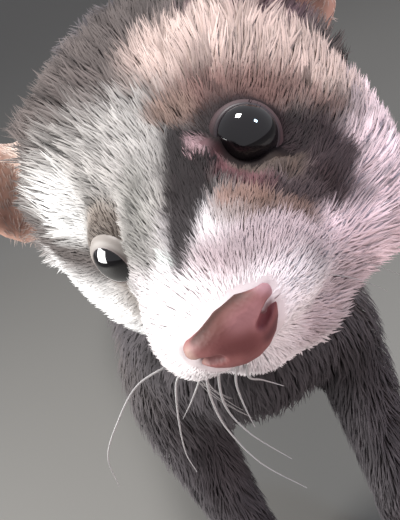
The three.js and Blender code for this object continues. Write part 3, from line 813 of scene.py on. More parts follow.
# %% Colour of any place
BODY_TINTS = ((52, 48, 50), (87, 83, 86))
FLANK_TINTS = ((176, 158, 134), (84, 75, 71))
FLANK_SHARES = (0.8, 0.7)
FLANK_HEIGHT = (58, 36)
FLANK_START = (-118, 80)
SKULL_TINTS = ((62, 55, 53), (89, 82, 80))
SKULL_BACK = (40, 16)
SKULL_ROUND = (38, 10)
EAR_TINTS = ((200, 156, 140), (222, 206, 196))
EAR_SHARES = (0.9, 0.7)
EAR_NEAR = (3.2, 2.5)
RIM_TINT = (220, 200, 188)
RIM_SHARE = 0.8
RIM_START = (8.5, 2.5)


def tinted(pair, tints, mask, shares=(1, 1)):
    """Root and tip colours with two tints laid over them where the mask is 1."""
    return [over(base, tint(*colour), mask * share) for base, colour, share in zip(pair, tints, shares)]


def markings_and_painted_light(points):
    """Root and tip colour of the coat at any points, painted light and shade included; an ear's rim is paler
    at the roots alone.
    """
    head = to_head(points)
    pair = [np.tile(tint(*colour), (len(points), 1)) for colour in BODY_TINTS]
    flank = rising(points[:, 2], *FLANK_HEIGHT) * rising(points[:, 1], *FLANK_START)
    pair = tinted(pair, FLANK_TINTS, flank, FLANK_SHARES)
    skull = falling(head[:, 1], *SKULL_BACK) * falling(near_eye(head), *SKULL_ROUND)
    pair = tinted(pair, SKULL_TINTS, skull)
    for spots, soft, root_tint, tip_tint, strength in FACE_MARKINGS_AND_PAINTED_LIGHT:
        pair = tinted(pair, (root_tint, tip_tint), spotted(head, spots, soft) * strength)
    ear = falling(near_ear(points), *EAR_NEAR)
    rim = rising(from_ear_middle(points), *RIM_START)
    root, tip = tinted(pair, EAR_TINTS, ear, EAR_SHARES)
    return over(root, tint(*RIM_TINT), ear * rim * RIM_SHARE), tip


print("shoulder, root and tip:", [colour.round(3) for colour in markings_and_painted_light(shoulders[None])])

# %% [markdown]
# A tuft is a thin closed blade: three-sided, bent over along the lie of the coat, and pointed.
# Real fur has far more hairs than a mesh can carry, so tufts are packed most densely where
# the hair is finest, on the face, and wider apart where it is long. Eyes, nose leather and
# soles stay bare. Each pair in capitals is again a fade.

# %% Where tufts grow
FACE_DENSITY = 14.0
SKULL_DENSITY = 7.0
NECK_DENSITY = 2.0
BODY_DENSITY = 0.75
LEG_DENSITY = 1.9
DENSE_BACK = (36, 10)
DENSE_ROUND = (34, 8)
FACE_BACK = (20, 16)
THROAT = [0, 10, -10]
THROAT_ROUND = (78, 30)
LEG_TOP = (62, 20)
RUMP_END = (110, 10)
EYE_ROUND = 6.5
LID_BARE = 4
NOSE_FRONT = -14
NOSE_BARE = 0.15
BROW_BARE = 0.3
FLOOR_BARE = 3


def triangles_of(mesh):
    values = np.empty(len(mesh.polygons) * 3, int)
    mesh.polygons.foreach_get("vertices", values)
    return values.reshape(-1, 3)


def scattered(mesh, density):
    """Even random places on a triangle mesh with this many to the square millimetre."""
    points, normals, corners = points_of(mesh), normals_of(mesh), triangles_of(mesh)
    a, b, c = (points[corners[:, i]] for i in range(3))
    area = np.linalg.norm(np.cross(b - a, c - a), axis=1) / 2
    wanted = np.cumsum(area * density((a + b + c) / 3))
    count = int(wanted[-1])
    steps = (np.arange(count) + dice.random(count)) * wanted[-1] / count
    chosen = np.searchsorted(wanted, steps).clip(0, len(corners) - 1)
    share = dice.random((count, 2))
    share = np.where(share.sum(1, keepdims=True) > 1, 1 - share, share)
    weights = np.stack([1 - share.sum(1), share[:, 0], share[:, 1]], 1)[:, :, None]
    roots = (points[corners[chosen]] * weights).sum(1)
    facing = (normals[corners[chosen]] * weights).sum(1)
    return roots, facing / np.linalg.norm(facing, axis=1, keepdims=True)


def clear_of(leather, point):
    """Whether a point of the skin is outside the nose leather and a little away from it."""
    place, normal, _, gap = leather.find_nearest(point)
    return gap > NOSE_BARE and (Vector(point) - place) @ normal > 0


def tuft_density(points):
    head = to_head(points)
    on_head = falling(head[:, 1], *DENSE_BACK) * falling(near_eye(head), *DENSE_ROUND)
    neck = falling(np.linalg.norm(head - THROAT, axis=1), *THROAT_ROUND)
    low = falling(points[:, 2], *LEG_TOP) * falling(points[:, 1], *RUMP_END)
    body = BODY_DENSITY + (NECK_DENSITY - BODY_DENSITY) * neck + (LEG_DENSITY - BODY_DENSITY) * low
    face = SKULL_DENSITY + (FACE_DENSITY - SKULL_DENSITY) * falling(head[:, 1], *FACE_BACK)
    density = body + (face - body) * on_head
    for name, ball in balls.items():
        outward = head - ball
        gap = np.linalg.norm(outward, axis=1)
        lid = math.cos(math.radians(LID_OPEN[name][0] + LID_BARE))
        density *= (gap > EYE_ROUND) | (outward @ LID_FACING[name] / gap < lid)
    front = head[:, 1] < NOSE_FRONT
    density[front] *= [clear_of(nose_tree, point) for point in points[front]]
    front &= head[:, 2] < by_table(NOSE_BROW, head[:, 0]) - BROW_BARE
    density[front] *= [clear_of(flesh_tree, point) for point in points[front]]
    density *= points[:, 2] > FLOOR_BARE
    return density * 1


roots, facing = scattered(skin_mesh, tuft_density)
print("tufts:", len(roots))

# %% [markdown]
# Each tuft takes its lie, length and height from the coat at its root, a little different from
# its neighbours'. Where the animal is fluffier, on crown, brow, cheeks and jowl, tufts are
# longer and stand out more.

# %% How tufts lie
# Where the coat is fluffier: spots, soft edge, how much it stands out and how much it is longer
FLUFFY = (
    ([((-6, 12, 16), 7), ((-14, 12, 12), 7)], 6, 2.2, 3.0),
    ([((-16, 9, 8), 3), ((-18, 12, 5), 3)], 5, 1.0, 3.0),
    ([((-19.5, 16, 12.5), 3.5), ((-15, 20, 11.5), 3.2), ((-14.5, 15, 9.5), 2.8)], 3, -1.6, -3.8),
    ([((18, 2, -17), 5), ((24, 12, -10), 7)], 6, 1.9, 2.8),
    ([((5, -12, -16.5), 3.5), ((11, -8, -17), 5), ((15, -2, -19), 5)], 5, 2.8, 3.5),
    ([((12, 8, 8), 3), ((16, 12, 8), 5), ((22, 13, 0), 5)], 5, 1.3, 4.0),
)
WAVE_SWING = 0.22
WAVE_SIZE = 9
WAVE_SEED = 1
WAVE_COUNT = 4
WAVE_PITCH = 1.6
WAVE_SHIFT = 6
WAVE_LEVEL = 2.6
LOOSE_SWING = 0.15
LENGTH_RANGE = (0.7, 1.2)
HEIGHT_RANGE = (0.55, 1.05)
FLUFF_RANGE = (0.4, 1.1)
STEEPEST = 0.9
SHORTEST = 0.8
FLATTEST = 0.06
BLADE_WIDTH = 0.075
BLADE_WIDENS = 0.038
ALMOST_NOTHING = 1e-9


def unit(vectors):
    return vectors / np.maximum(np.linalg.norm(vectors, axis=1, keepdims=True), ALMOST_NOTHING)


def waves(points, size, seed):
    """A smooth value between about -1 and 1 that wanders over this many millimetres."""
    source = np.random.default_rng(seed)
    total = np.zeros(len(points))
    for _ in range(WAVE_COUNT):
        direction = source.normal(size=3)
        total += np.sin(points @ direction / size * WAVE_PITCH + source.random() * WAVE_SHIFT)
    return total / WAVE_LEVEL


lie, depth, length = coat_at(roots)
lie = unit(lie - (lie * facing).sum(1, keepdims=True) * facing)
swing = WAVE_SWING * waves(roots, WAVE_SIZE, WAVE_SEED) + dice.normal(size=len(roots)) * LOOSE_SWING
lie = unit(lie + np.cross(facing, lie) * swing[:, None])
length *= dice.uniform(*LENGTH_RANGE, len(roots))
height = np.minimum(depth * dice.uniform(*HEIGHT_RANGE, len(roots)), length * STEEPEST)
for spots, soft, more, longer in FLUFFY:
    share = spotted(to_head(roots), spots, soft) * dice.uniform(*FLUFF_RANGE, len(roots))
    height += share * more
    length += share * longer
length = np.maximum(length, SHORTEST)
height = np.clip(height, FLATTEST, length * STEEPEST)
reach = np.sqrt(length ** 2 - height ** 2)
width = BLADE_WIDTH + BLADE_WIDENS * length
print("length, mm:", length.min().round(2), length.max().round(2))

# %% [markdown]
# Neighbouring tufts lean together into clumps, as damp or oily fur does. A few tufts lead, the
# others point towards the end of the nearest leader and share its shade. Middles and tips are
# then laid on the skin again, so that long tufts follow its curve.

# %% Clumps
CLUMP_PULL = 0.72
CLUMP_LEADERS = 0.035
CLUMP_REACH = 0.35
CLUMP_CORE = 0.3
CLUMP_GATHER = 0.8
CALM_NOSE = (-18, 14)
CALMEST = 0.4
CLUMP_MOOD = 0.18
TUFT_MOOD = 0.07
MIDDLE = 0.45
STRAY = 0.5
leaders = np.flatnonzero(dice.random(len(roots)) < CLUMP_LEADERS)
leader_tree = tree_of(roots[leaders])
leader = leaders[[leader_tree.find(root)[1] for root in roots]]
calm = CALMEST + (1 - CALMEST) * rising(to_head(roots)[:, 1], *CALM_NOSE)
mood = 1 + (dice.normal(0, CLUMP_MOOD, len(roots))[leader] + dice.normal(0, TUFT_MOOD, len(roots))) * calm
skin_tree = BVHTree.FromPolygons(points_of(skin_mesh).tolist(), triangles_of(skin_mesh).tolist())


def clumped(aims):
    """Aims on the skin drawn towards the aim of the nearest clump leader."""
    led = (aims[leader] - roots[leader]) * (length / length[leader])[:, None]
    towards = roots[leader] - roots
    apart = np.linalg.norm(towards, axis=1) / (CLUMP_REACH * length + CLUMP_CORE)
    pull = CLUMP_PULL * calm * np.exp(-apart ** 2)
    return aims + (roots + led - aims + towards * CLUMP_GATHER) * pull[:, None]


def laid(points, reach):
    """The nearest places on the skin, and normals between the skin's there and at the root."""
    found = [skin_tree.find_nearest(point) for point in points]
    spots = np.array([place for place, _, _, _ in found])
    normals = np.array([normal for _, normal, _, _ in found])
    far = np.linalg.norm(spots - points, axis=1) > STRAY * reach
    spots[far] = points[far]
    normals[far] = facing[far]
    return spots, unit((normals + facing) / 2)


aims = clumped(roots + lie * reach[:, None])
tips, tip_facing = laid(aims, reach)
middles, middle_facing = laid(roots + (aims - roots) * MIDDLE, reach)
tips += tip_facing * height[:, None]
middles += middle_facing * (height * MIDDLE * (2 - MIDDLE))[:, None]
print("clumps:", len(leaders))

# %% [markdown]
# Every blade has three corners at its root, three at its bend and one at its tip. Its place
# on the map is a small patch where its root is on a six-sided unwrap of the skin, so a colour
# that is baked for one blade never runs into a far one.

# %% One blade and its place on the map
CELL_COLUMNS = 3
CELL_ROWS = 2
CELL_EDGE = 0.005
CELL_SIZE = 0.32


def blade_template():
    """Corner numbers and map places of one blade's triangles."""
    faces = [(0, 2, 1)]
    places = [(0, 0), (0.6, 0.12), (0.3, 0)]
    for a in range(3):
        b = (a + 1) % 3
        left, right = a / 3, (a + 1) / 3
        faces += [(a, b, b + 3), (a, b + 3, a + 3)]
        places += [(left, 0), (right, 0), (right, 0.5), (left, 0), (right, 0.5), (left, 0.5)]
    for a in range(3):
        faces.append((a + 3, (a + 1) % 3 + 3, 6))
        places += [(a / 3, 0.5), ((a + 1) / 3, 0.5), (a / 3 + 1 / 6, 1)]
    return np.array(faces), np.array(places)


def unwrapped(points, normals):
    """Places on a six-sided unwrap of this part of the skin, between 0 and 1."""
    inner = (points - points.min(0)) / np.ptp(points, axis=0).max()
    axis = np.abs(normals).argmax(1)
    cell = axis * 2 + (np.take_along_axis(normals, axis[:, None], 1)[:, 0] > 0)
    rows = np.arange(len(points))
    flat = np.stack([inner[rows, (axis + 1) % 3], inner[rows, (axis + 2) % 3]], 1)
    corner = np.stack([cell % CELL_COLUMNS / CELL_COLUMNS, cell // CELL_COLUMNS / CELL_ROWS], 1)
    return corner + CELL_EDGE + flat * CELL_SIZE


print("triangles to a tuft:", len(blade_template()[0]))

# %% [markdown]
# Tufts are too many for one object each, so a whole region of coat is one mesh that is worked
# out by arrays. A blade is dark at its root and takes its tip's colour on the way up, and its
# shading follows the skin more than its own faces, which makes many blades look like fur.

# %% A mesh of tufts
PATCH = 0.003
SINK = 0.15
ROOT_LIGHT = 0.15
MIDDLE_LIGHT = MIDDLE ** 0.8
ROOT_WIDTH = 0.4
BEND_WIDTH = 0.5
RIDGE = 0.7
TILT = 0.3


def painted(mesh, colours):
    """Write a colour for every point where the materials read it, and shade the mesh smooth."""
    paint = mesh.color_attributes.new("coat", "FLOAT_COLOR", "POINT")
    rgba = np.ones((len(mesh.vertices), 4))
    rgba[:, :3] = np.clip(colours, 0, 1)
    paint.data.foreach_set("color", rgba.ravel())
    mesh.shade_smooth()


def tuft_mesh(name, chosen):
    p, n, m, mn, t = (array[chosen] for array in (roots, facing, middles, middle_facing, tips))
    w = width[chosen, None]
    root_colour, tip_colour = markings_and_painted_light(p)
    root_colour = root_colour + (tip_colour - root_colour) * ROOT_LIGHT
    middle_colour = root_colour + (tip_colour - root_colour) * MIDDLE_LIGHT
    verts, shading, colours = [], [], []
    for centre, normal, along, wide, colour in (
        (p - n * SINK, n, m - p, w * ROOT_WIDTH, root_colour),
        (m, mn, t - p, w * BEND_WIDTH, middle_colour),
    ):
        across = unit(np.cross(normal, along))
        lift = unit(np.cross(along, across))
        for corner, tilt in ((-across, -TILT), (across, TILT), (lift * RIDGE, 0)):
            verts.append(centre + corner * wide)
            shading.append(unit(normal + across * tilt))
            colours.append(colour)
    verts.append(t)
    shading.append(tip_facing[chosen])
    colours.append(tip_colour)
    verts = np.stack(verts, 1)
    faces, places = blade_template()
    corners = (faces[None] + (np.arange(len(p)) * verts.shape[1])[:, None, None]).reshape(-1, 3)
    mesh = bpy.data.meshes.new(name)
    mesh.vertices.add(verts.shape[0] * verts.shape[1])
    mesh.loops.add(corners.size)
    mesh.polygons.add(len(corners))
    mesh.vertices.foreach_set("co", (verts * MM).ravel())
    mesh.loops.foreach_set("vertex_index", corners.ravel())
    mesh.polygons.foreach_set("loop_start", np.arange(len(corners)) * 3)
    mesh.update(calc_edges=True)
    bake = mesh.uv_layers.new(name="OFBake")
    where = unwrapped(p, n)[:, None, :] + places[None] * PATCH
    bake.uv.foreach_set("vector", where.ravel())
    painted(mesh, (np.stack(colours, 1) * mood[chosen, None, None]).reshape(-1, 3))
    mesh.normals_split_custom_set_from_vertices(np.stack(shading, 1).reshape(-1, 3))
    return mesh


print("root width of a tuft, mm:", width.min().round(2), width.max().round(2))

# %% [markdown]
# Skin, coat, lids and nose leather all take their colour from the points of their mesh. One
# node group reads it, so that each material only adds how rough and how shiny its surface is.

# %% Painted materials
painted_colour = bpy.data.node_groups.new("painted colour", "ShaderNodeTree")
painted_colour.interface.new_socket("Color", in_out="OUTPUT", socket_type="NodeSocketColor")
reader = painted_colour.nodes.new("ShaderNodeAttribute")
reader.attribute_name = "coat"
outlet = painted_colour.nodes.new("NodeGroupOutput")
painted_colour.links.new(reader.outputs["Color"], outlet.inputs["Color"])


def sockets_of(material):
    return material.node_tree.nodes["Principled BSDF"].inputs


def new_material(name, roughness, colour=None):
    material = bpy.data.materials.new(name)
    material.use_nodes = True
    sockets_of(material)["Roughness"].default_value = roughness
    if colour:
        sockets_of(material)["Base Color"].default_value = (*colour, 1)
    return material


def painted_material(name, roughness, shine):
    """A material that shows the colours painted on the points of its mesh."""
    material = new_material(name, roughness)
    sockets_of(material)["Specular IOR Level"].default_value = shine
    paint = material.node_tree.nodes.new("ShaderNodeGroup")
    paint.node_tree = painted_colour
    material.node_tree.links.new(paint.outputs["Color"], sockets_of(material)["Base Color"])
    return material


def shown(mesh, name, material):
    """Put a finished mesh in the scene as a piece of the ferret."""
    mesh.materials.append(material)
    piece = in_scene(name, mesh)
    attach(piece, "root")
    return piece


coat_material = painted_material("coat", roughness=0.7, shine=0.22)
print("painted:", coat_material.name)

# %% [markdown]
# The coat is made region by region, each a piece of its own, so that none gets too heavy.

# %% Regions of coat
PIECE_LIMIT = 19900
SKULL_END = 34
MUZZLE_END = -8
FOREHEAD_END = 14
BROW_LEVEL = 2
THROAT_LEVEL = 80
ELBOW_LEVEL = 50
KNEE_LEVEL = 57
TAIL_START = 105
NECK_OVERLAP = 5
x, y, z = to_head(roots).T
back, up = roots[:, 1], roots[:, 2]
skull = (y < SKULL_END) & (near_eye(to_head(roots)) < SKULL_END)
face = skull & (y >= MUZZLE_END)
neck_end = corner_of("neck", [0, 1, 0])[1] + NECK_OVERLAP
regions = {
    "coat_muzzle": skull & (y < MUZZLE_END),
    "coat_forehead": face & (z > BROW_LEVEL) & (y < FOREHEAD_END),
    "coat_cheek_left": face & (z <= BROW_LEVEL) & (x > 0),
    "coat_cheek_right": face & (z <= BROW_LEVEL) & (x <= 0),
    "coat_crown": skull & (z > BROW_LEVEL) & (y >= FOREHEAD_END),
    "coat_neck": ~skull & (back < neck_end) & (up > THROAT_LEVEL),
    "coat_chest": ~skull & (back < 0) & (up > ELBOW_LEVEL),
    "coat_loin": (back >= 0) & (back < TAIL_START) & (up > KNEE_LEVEL),
    "coat_tail": back >= TAIL_START,
    "coat_front_legs": (back < 0) & (up <= ELBOW_LEVEL),
    "coat_hind_legs": (back >= 0) & (back < TAIL_START) & (up <= KNEE_LEVEL),
}
taken = np.zeros(len(roots), bool)
for name, mask in regions.items():
    chosen = np.flatnonzero(mask & ~taken)
    taken |= mask
    parts = max(1, math.ceil(len(chosen) / PIECE_LIMIT))
    order = chosen[np.argsort(roots[chosen, 0])]
    for index, share in enumerate(np.array_split(order, parts)):
        title = name if parts == 1 else f"{name}_{index + 1}"
        if len(share):
            shown(tuft_mesh(title, share), title, coat_material)
        print(title, len(share))
print("left over:", (~taken).sum())

# %% [markdown]
# The skin shows between the tufts, a little darker than their roots. It stands for all the
# flesh of the solids, from the head to the feet.

# %% Skin colour
SKIN_SHADE = 0.8
skin_mesh.materials.clear()
painted(skin_mesh, markings_and_painted_light(points_of(skin_mesh))[0] * SKIN_SHADE)
skin_material = painted_material("skin", roughness=0.7, shine=0.15)
skin = shown(skin_mesh, "skin", skin_material)
flesh = ["head", "neck", "chest", "loin_and_hips", "tail", "ear_left", "ear_right", *leg_nodes]
flesh += [f"{kind}_foot_{side}" for kind in KINDS for side in SIDES]
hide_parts(*flesh)
print("skin stands for", len(flesh), "solids")

# %% [markdown]
# Each lid is a soft ring that closes on the eyeball: a thin free edge, a rounded rim and an
# outer fold that sinks under the skin. Its section is a small loop, carried round the eye on
# an almond path. A grid gives the loop's rows and columns, and welding joins both its ends.

# %% Lids
LID_SLANT = 0.25
LID_STEPS = 72
# Each place of the section: distance from the ball's middle in radii, degrees past the opening
LID_SECTION = ((0.975, 0), (1.02, 0.4), (1.05, 2.2), (1.07, 5), (1.062, 8), (1.08, 11), (1.1, 16),
               (1.08, 24), (1.0, 30), (0.94, 15))
# Edge and fold colours of each lid; the right lid is painted paler, as the left lamp would light it
LID_TINTS_FAR_PAINTED_LIT = {"left": ((52, 44, 47), (74, 60, 62)), "right": ((92, 78, 76), (142, 135, 130))}
LID_FOLD = (3, 6)


def lid_ring(name):
    axis = LID_FACING[name]
    across = unit(np.cross([0, LID_SLANT, 1], axis)[None])[0]
    upward = np.cross(axis, across)
    wide, high = LID_OPEN[name]
    shape = bmesh.new()
    rows = len(LID_SECTION)
    bmesh.ops.create_grid(shape, x_segments=LID_STEPS, y_segments=rows, size=1)
    for vert in shape.verts:
        turned = (vert.co.x + 1) * math.pi
        radius, more = LID_SECTION[round((vert.co.y + 1) / 2 * rows) % rows]
        opening = math.hypot(wide * math.cos(turned), high * math.sin(turned))
        angle = math.radians(opening + more)
        sideways = across * math.cos(turned) + upward * math.sin(turned)
        spot = (axis * math.cos(angle) + sideways * math.sin(angle)) * radius * BALL_RADIUS[name]
        vert.co = Vector(from_head(balls[name] + spot) * MM)
    bmesh.ops.remove_doubles(shape, verts=shape.verts, dist=WELD)
    bmesh.ops.recalc_face_normals(shape, faces=shape.faces)
    return finished(shape, f"lids_{name}")


lid_material = painted_material("lid skin", roughness=0.5, shine=0.5)
for name in eyes:
    ring = lid_ring(name)
    outward = unit(to_head(points_of(ring)) - balls[name])
    angle = np.degrees(np.arccos(outward @ LID_FACING[name])) - LID_OPEN[name][0]
    edge, fold = (np.tile(tint(*colour), (len(outward), 1)) for colour in LID_TINTS_FAR_PAINTED_LIT[name])
    painted(ring, over(edge, fold, rising(angle, *LID_FOLD)))
    shown(ring, f"lids_{name}", lid_material)
    print("lids", name, len(ring.polygons), "faces")

# %% [markdown]
# An eyeball is a ball with a cornea that bulges a little. A ferret's iris is as dark as its
# pupil, so one black, wet surface serves, and the lamps make its highlights.

# %% Eyes
EYE_BLACK = (0.006, 0.005, 0.006)
CORNEA = 0.25
CORNEA_START = (0.3, 0.7)
eye_material = new_material("eye", roughness=0.06, colour=EYE_BLACK)
sockets_of(eye_material)["Coat Weight"].default_value = 1
sockets_of(eye_material)["Coat Roughness"].default_value = 0.02


def eyeball(name):
    shape = bmesh.new()
    bmesh.ops.create_uvsphere(shape, u_segments=64, v_segments=40, radius=1)
    look = Vector(eye_axes[name] @ head_turn.T).to_track_quat("Z", "Y").to_matrix()
    for vert in shape.verts:
        bulge = CORNEA * float(rising(vert.co.z, *CORNEA_START))
        vert.co = look @ (vert.co * (BALL_RADIUS[name] + bulge) * MM) + Vector(from_head(balls[name]) * MM)
    mesh = finished(shape, f"eyeball_{name}")
    mesh.shade_smooth()
    return mesh


for name in eyes:
    ball = shown(eyeball(name), f"eyeball_{name}", eye_material)
    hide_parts(f"eye_{name}")
    print("eyeball", name, "radius, mm:", BALL_RADIUS[name])

# %% [markdown]
# The nose leather is pink with painted brown shadows: a brown upper edge, darkest at its rim, a pink
# middle with a paler painted highlight, maroon below, and dark nostrils. Its skin is pebbled very
# finely, which only a bump can show at this size.

# %% Nose leather
# Each marking or painted shade or highlight: its spots, how soft its edge is, its colour and its strength
NOSE_MARKINGS_AND_PAINTED_LIGHT = (
    ([((-2.4, -24.4, -6.5), 0.9), ((-0.5, -24.4, -6.2), 1.2), ((1.4, -24.2, -6.2), 1.2),
      ((3.3, -23.7, -6.5), 0.8)], 1.6, (92, 58, 53), 0.85),
    # Painted shade: the darkest brown along the rim that faces the left lamp
    ([((-3.4, -23.8, -6.2), 0.4), ((-1.6, -24, -5.9), 0.6), ((0.9, -23.5, -5.5), 0.6),
      ((2.9, -23.3, -5.8), 0.6)], 0.9, (62, 37, 31), 0.92),
    # Painted highlight: the paler pink middle
    ([((1.4, -25, -7.7), 1.1), ((3.2, -24.4, -8.2), 1.2)], 2, (160, 114, 116), 0.8),
    ([((5, -22.8, -7), 0.9), ((5.2, -22.2, -8), 0.8)], 1.4, (160, 124, 131), 0.75),
    ([((-1.4, -24.9, -8.9), 1.2), ((0.6, -24.6, -10), 1.3)], 2, (102, 60, 60), 0.85),
    ([((-3.1, -23.4, -9.4), 0.9), ((-1.6, -24.2, -10.6), 0.8)], 1.4, (150, 98, 96), 0.7),
    ([((-4.8, -23.4, -7.2), 0.8), ((-4.6, -23, -8.4), 0.7)], 1.4, (168, 138, 128), 0.8),
    ([((2.3, -23.6, -10.9), 0.8), ((3.6, -22.6, -10.4), 0.7)], 1.2, (80, 48, 50), 0.85),
    ([((2.4, -23.8, -9.5), 0.6), ((3.4, -23.4, -9.2), 0.7), ((4.6, -22.5, -9), 0.4)], 1, (84, 34, 40), 0.92),
    ([((-2.4, -23.8, -9.5), 0.5), ((-3.6, -23.2, -9), 0.5)], 1, (74, 34, 36), 0.8),
)
LEATHER = (132, 85, 84)
PEBBLES = 2600
PEBBLE_HEIGHT = 0.0001
PEBBLE_STRENGTH = 0.35
leather = np.tile(tint(*LEATHER), (len(nose_points), 1))
for spots, soft, colour, strength in NOSE_MARKINGS_AND_PAINTED_LIGHT:
    leather = over(leather, tint(*colour), spotted(nose_points, spots, soft) * strength)
painted(nose_mesh, leather)
nose_material = painted_material("nose leather", roughness=0.58, shine=0.35)
tree = nose_material.node_tree
pebbles = tree.nodes.new("ShaderNodeTexVoronoi")
pebbles.feature = "SMOOTH_F1"
pebbles.inputs["Scale"].default_value = PEBBLES
place = tree.nodes.new("ShaderNodeTexCoord")
bump = tree.nodes.new("ShaderNodeBump")
bump.inputs["Strength"].default_value = PEBBLE_STRENGTH
bump.inputs["Distance"].default_value = PEBBLE_HEIGHT
bump.invert = True
tree.links.new(place.outputs["Object"], pebbles.inputs["Vector"])
tree.links.new(pebbles.outputs["Distance"], bump.inputs["Height"])
tree.links.new(bump.outputs["Normal"], sockets_of(nose_material)["Normal"])
nose = shown(nose_mesh, "nose_pad", nose_material)
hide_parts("nose")
print("nose markings:", len(NOSE_MARKINGS_AND_PAINTED_LIGHT))

# %% [markdown]
# Whiskers and claws are both strands that taper. A curve with a round bevel carries the
# strand's radius point by point, and is then turned into a mesh with closed ends.

# %% Strands
def strands(name, lines, material):
    """One mesh of tapering tubes; each line is (points, root radius, tip radius)."""
    curve = bpy.data.curves.new(name, "CURVE")
    curve.dimensions = "3D"
    curve.bevel_depth = MM
    curve.bevel_resolution = 1
    curve.use_fill_caps = True
    for points, thick, thin in lines:
        spline = curve.splines.new("POLY")
        spline.points.add(len(points) - 1)
        for index, point in enumerate(points):
            share = index / (len(points) - 1)
            spline.points[index].co = (*(np.asarray(point) * MM), 1)
            spline.points[index].radius = thick + (thin - thick) * share
    mesh = evaluated(curve)
    mesh.name = name
    mesh.materials.clear()
    mesh.shade_smooth()
    shown(mesh, name, material)
    print(name, len(lines))


def flowing(points, steps):
    """A smooth line through a few points."""
    points = np.asarray(points, float)
    padded = np.vstack([2 * points[0] - points[1], points, 2 * points[-1] - points[-2]])
    line = []
    for index in range(len(points) - 1):
        a, b, c, d = padded[index:index + 4]
        for t in np.arange(steps) / steps:
            line.append(0.5 * (2 * b + (c - a) * t + (2 * a - 5 * b + 4 * c - d) * t ** 2
                               + (3 * b - a - 3 * c + d) * t ** 3))
    return np.array([*line, points[-1]])


# %% [markdown]
# The long whiskers under the chin are drawn where the picture shows them, as places in the
# picture at a chosen distance from the lens. Finer ones stand in three rows on each cheek,
# swept back and drooping, as on any ferret.

# %% Whiskers
WHISKER_DEPTH = 97
WHISKER_RECEDES = 1.2
WHISKER_STEPS = 8
WHISKER_GREY = (0.36, 0.35, 0.35)
LOWER_RADII = (0.19, 0.04)
SIDE_RADII = (0.07, 0.02)
SIDE_ROWS = 3
SIDE_COLUMNS = 3
SIDE_POINTS = 9
# For the side whiskers: what the first has, what each column back adds, and each row down
SIDE_ROOT = np.array([(7.0, -15.5, -7.5), (0.9, 2.0, 0), (0, 0, -2.0)])
SIDE_AIM = np.array([(0.7, 0.6, -0.25), (0, 0.1, 0), (0, 0, -0.2)])
SIDE_SWEEP = np.array([13, 3, -2])
SIDE_DROOP = np.array([-0.25, 0.5, -0.6])
LOWER_WHISKERS = (
    ((176, 350), (173, 362), (137, 386), (117, 424), (108, 457), (119, 486)),
    ((183, 350), (182, 369), (176, 386), (179, 422), (186, 453), (197, 472)),
    ((200, 360), (200, 377), (192, 400), (183, 419)),
    ((208, 360), (207, 380), (213, 403), (228, 430), (261, 463), (307, 488)),
    ((221, 362), (219, 382), (227, 409), (251, 434), (292, 459)),
    ((238, 362), (236, 382), (244, 405), (255, 427)),
    ((247, 360), (249, 377), (263, 380), (284, 386)),
)


def from_photo(x, y, depth):
    """The point this many millimetres before the lens that falls on this place of the picture."""
    ray = np.array([(x - FRAME_WIDTH / 2) / FOCAL_PIXELS, (y - FRAME_HEIGHT / 2) / FOCAL_PIXELS, 1])
    return camera_place + view_axes @ (ray * depth)


def side_whisker(row, column):
    """A whisker of the left cheek, rows counted downwards and columns backwards."""
    first_and_steps = np.array([1, column, row])
    root = first_and_steps @ SIDE_ROOT
    aim = first_and_steps @ SIDE_AIM
    sweep = first_and_steps @ SIDE_SWEEP
    return np.array([root + aim * sweep * t + SIDE_DROOP * sweep * t * t
                     for t in np.linspace(0, 1, SIDE_POINTS)])


lines = []
for path in LOWER_WHISKERS:
    bent = [from_photo(x, y, WHISKER_DEPTH + index * WHISKER_RECEDES) for index, (x, y) in enumerate(path)]
    lines.append((flowing(bent, WHISKER_STEPS), *LOWER_RADII))
for mirror in (np.ones(3), MIRROR):
    for row in range(SIDE_ROWS):
        for column in range(SIDE_COLUMNS):
            lines.append((from_head(side_whisker(row, column) * mirror), *SIDE_RADII))
strands("whiskers", lines, new_material("whisker", roughness=0.4, colour=WHISKER_GREY))

# %% [markdown]
# A ferret's claws are always out: pale horn, curved, one to each toe.

# %% Claws
CLAW_HORN = (0.42, 0.33, 0.27)
CLAW_LENGTH = 6.0
CLAW_ROOT = (0.9, 4.6)
CLAW_RISE = 1.3
CLAW_FALL = 4.6
CLAW_STEPS = 8
CLAW_RADII = (1.0, 0.12)


def claw_line(kind, toe):
    angle = math.radians(TOE_TURN[toe])
    ahead = np.array([math.sin(angle), -math.cos(angle), 0])
    root = toe_point(kind, toe, *CLAW_ROOT)
    return np.array([root + ahead * CLAW_LENGTH * t + np.array([0, 0, CLAW_RISE * t - CLAW_FALL * t * t])
                     for t in np.linspace(0, 1, CLAW_STEPS)])


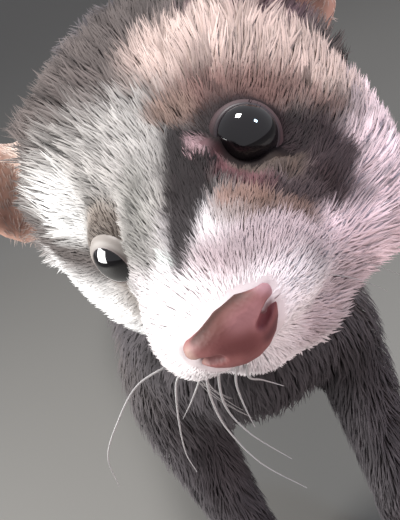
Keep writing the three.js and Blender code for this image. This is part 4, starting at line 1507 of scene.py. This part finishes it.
lines = []
for kind in KINDS:
    for side in SIDES:
        place, mirror = foot_place(kind, side)
        for toe in range(len(TOE_SPREAD)):
            lines.append((claw_line(kind, toe) * mirror + place, *CLAW_RADII))
strands("claws", lines, new_material("claw", roughness=0.35, colour=CLAW_HORN))

# %% [markdown]
# Plain studio light: a strong soft lamp at the left, which also makes the large highlights in
# the eyes, one above, a small bluish one for the second highlight, and a wide rosy one that
# opens the shadows at the right. The floor is plain.

# %% Floor and light
# Each lamp: its offset from the face in the picture's right, up and near, its size in metres,
# its power, its colour, and whether it shows in glossy surfaces
LAMPS = {
    "left lamp": ((-400, -110, -10), 0.26, 3.5, (1.0, 0.99, 0.97), True),
    "top lamp": ((-130, 400, 110), 0.1, 2.6, (1.0, 0.98, 0.97), True),
    "blue lamp": ((210, 320, 220), 0.06, 0.5, (0.6, 0.78, 1.0), True),
    "rosy lamp": ((330, -100, 260), 0.5, 2.7, (1.0, 0.84, 0.84), False),
}
FLOOR_SIZE = 3
FLOOR_GREY = (0.18, 0.177, 0.167)
AIR_GREY = (0.36, 0.36, 0.38, 1)
for name, (offset, size, power, colour, mirrored) in LAMPS.items():
    data = bpy.data.lights.new(name, "AREA")
    data.energy = power
    data.size = size
    data.color = colour
    lamp = in_scene(name, data)
    lamp.visible_glossy = mirrored
    place = head_place + view_axes @ (np.array(offset) * [1, -1, -1])
    aim = Vector(head_place - place).to_track_quat("-Z", "Y").to_matrix().to_4x4()
    lamp.matrix_world = Matrix.Translation(Vector(place * MM)) @ aim
shape = bmesh.new()
bmesh.ops.create_grid(shape, x_segments=1, y_segments=1, size=FLOOR_SIZE)
floor_mesh = finished(shape, "floor")
floor_mesh.materials.append(new_material("floor", roughness=0.8, colour=FLOOR_GREY))
floor = in_scene("floor", floor_mesh)
world = bpy.data.worlds.new("air")
bpy.context.scene.world = world
world.use_nodes = True
world.node_tree.nodes["Background"].inputs["Color"].default_value = AIR_GREY
bpy.context.scene.view_settings.view_transform = "Standard"
print("lamps:", len(LAMPS))
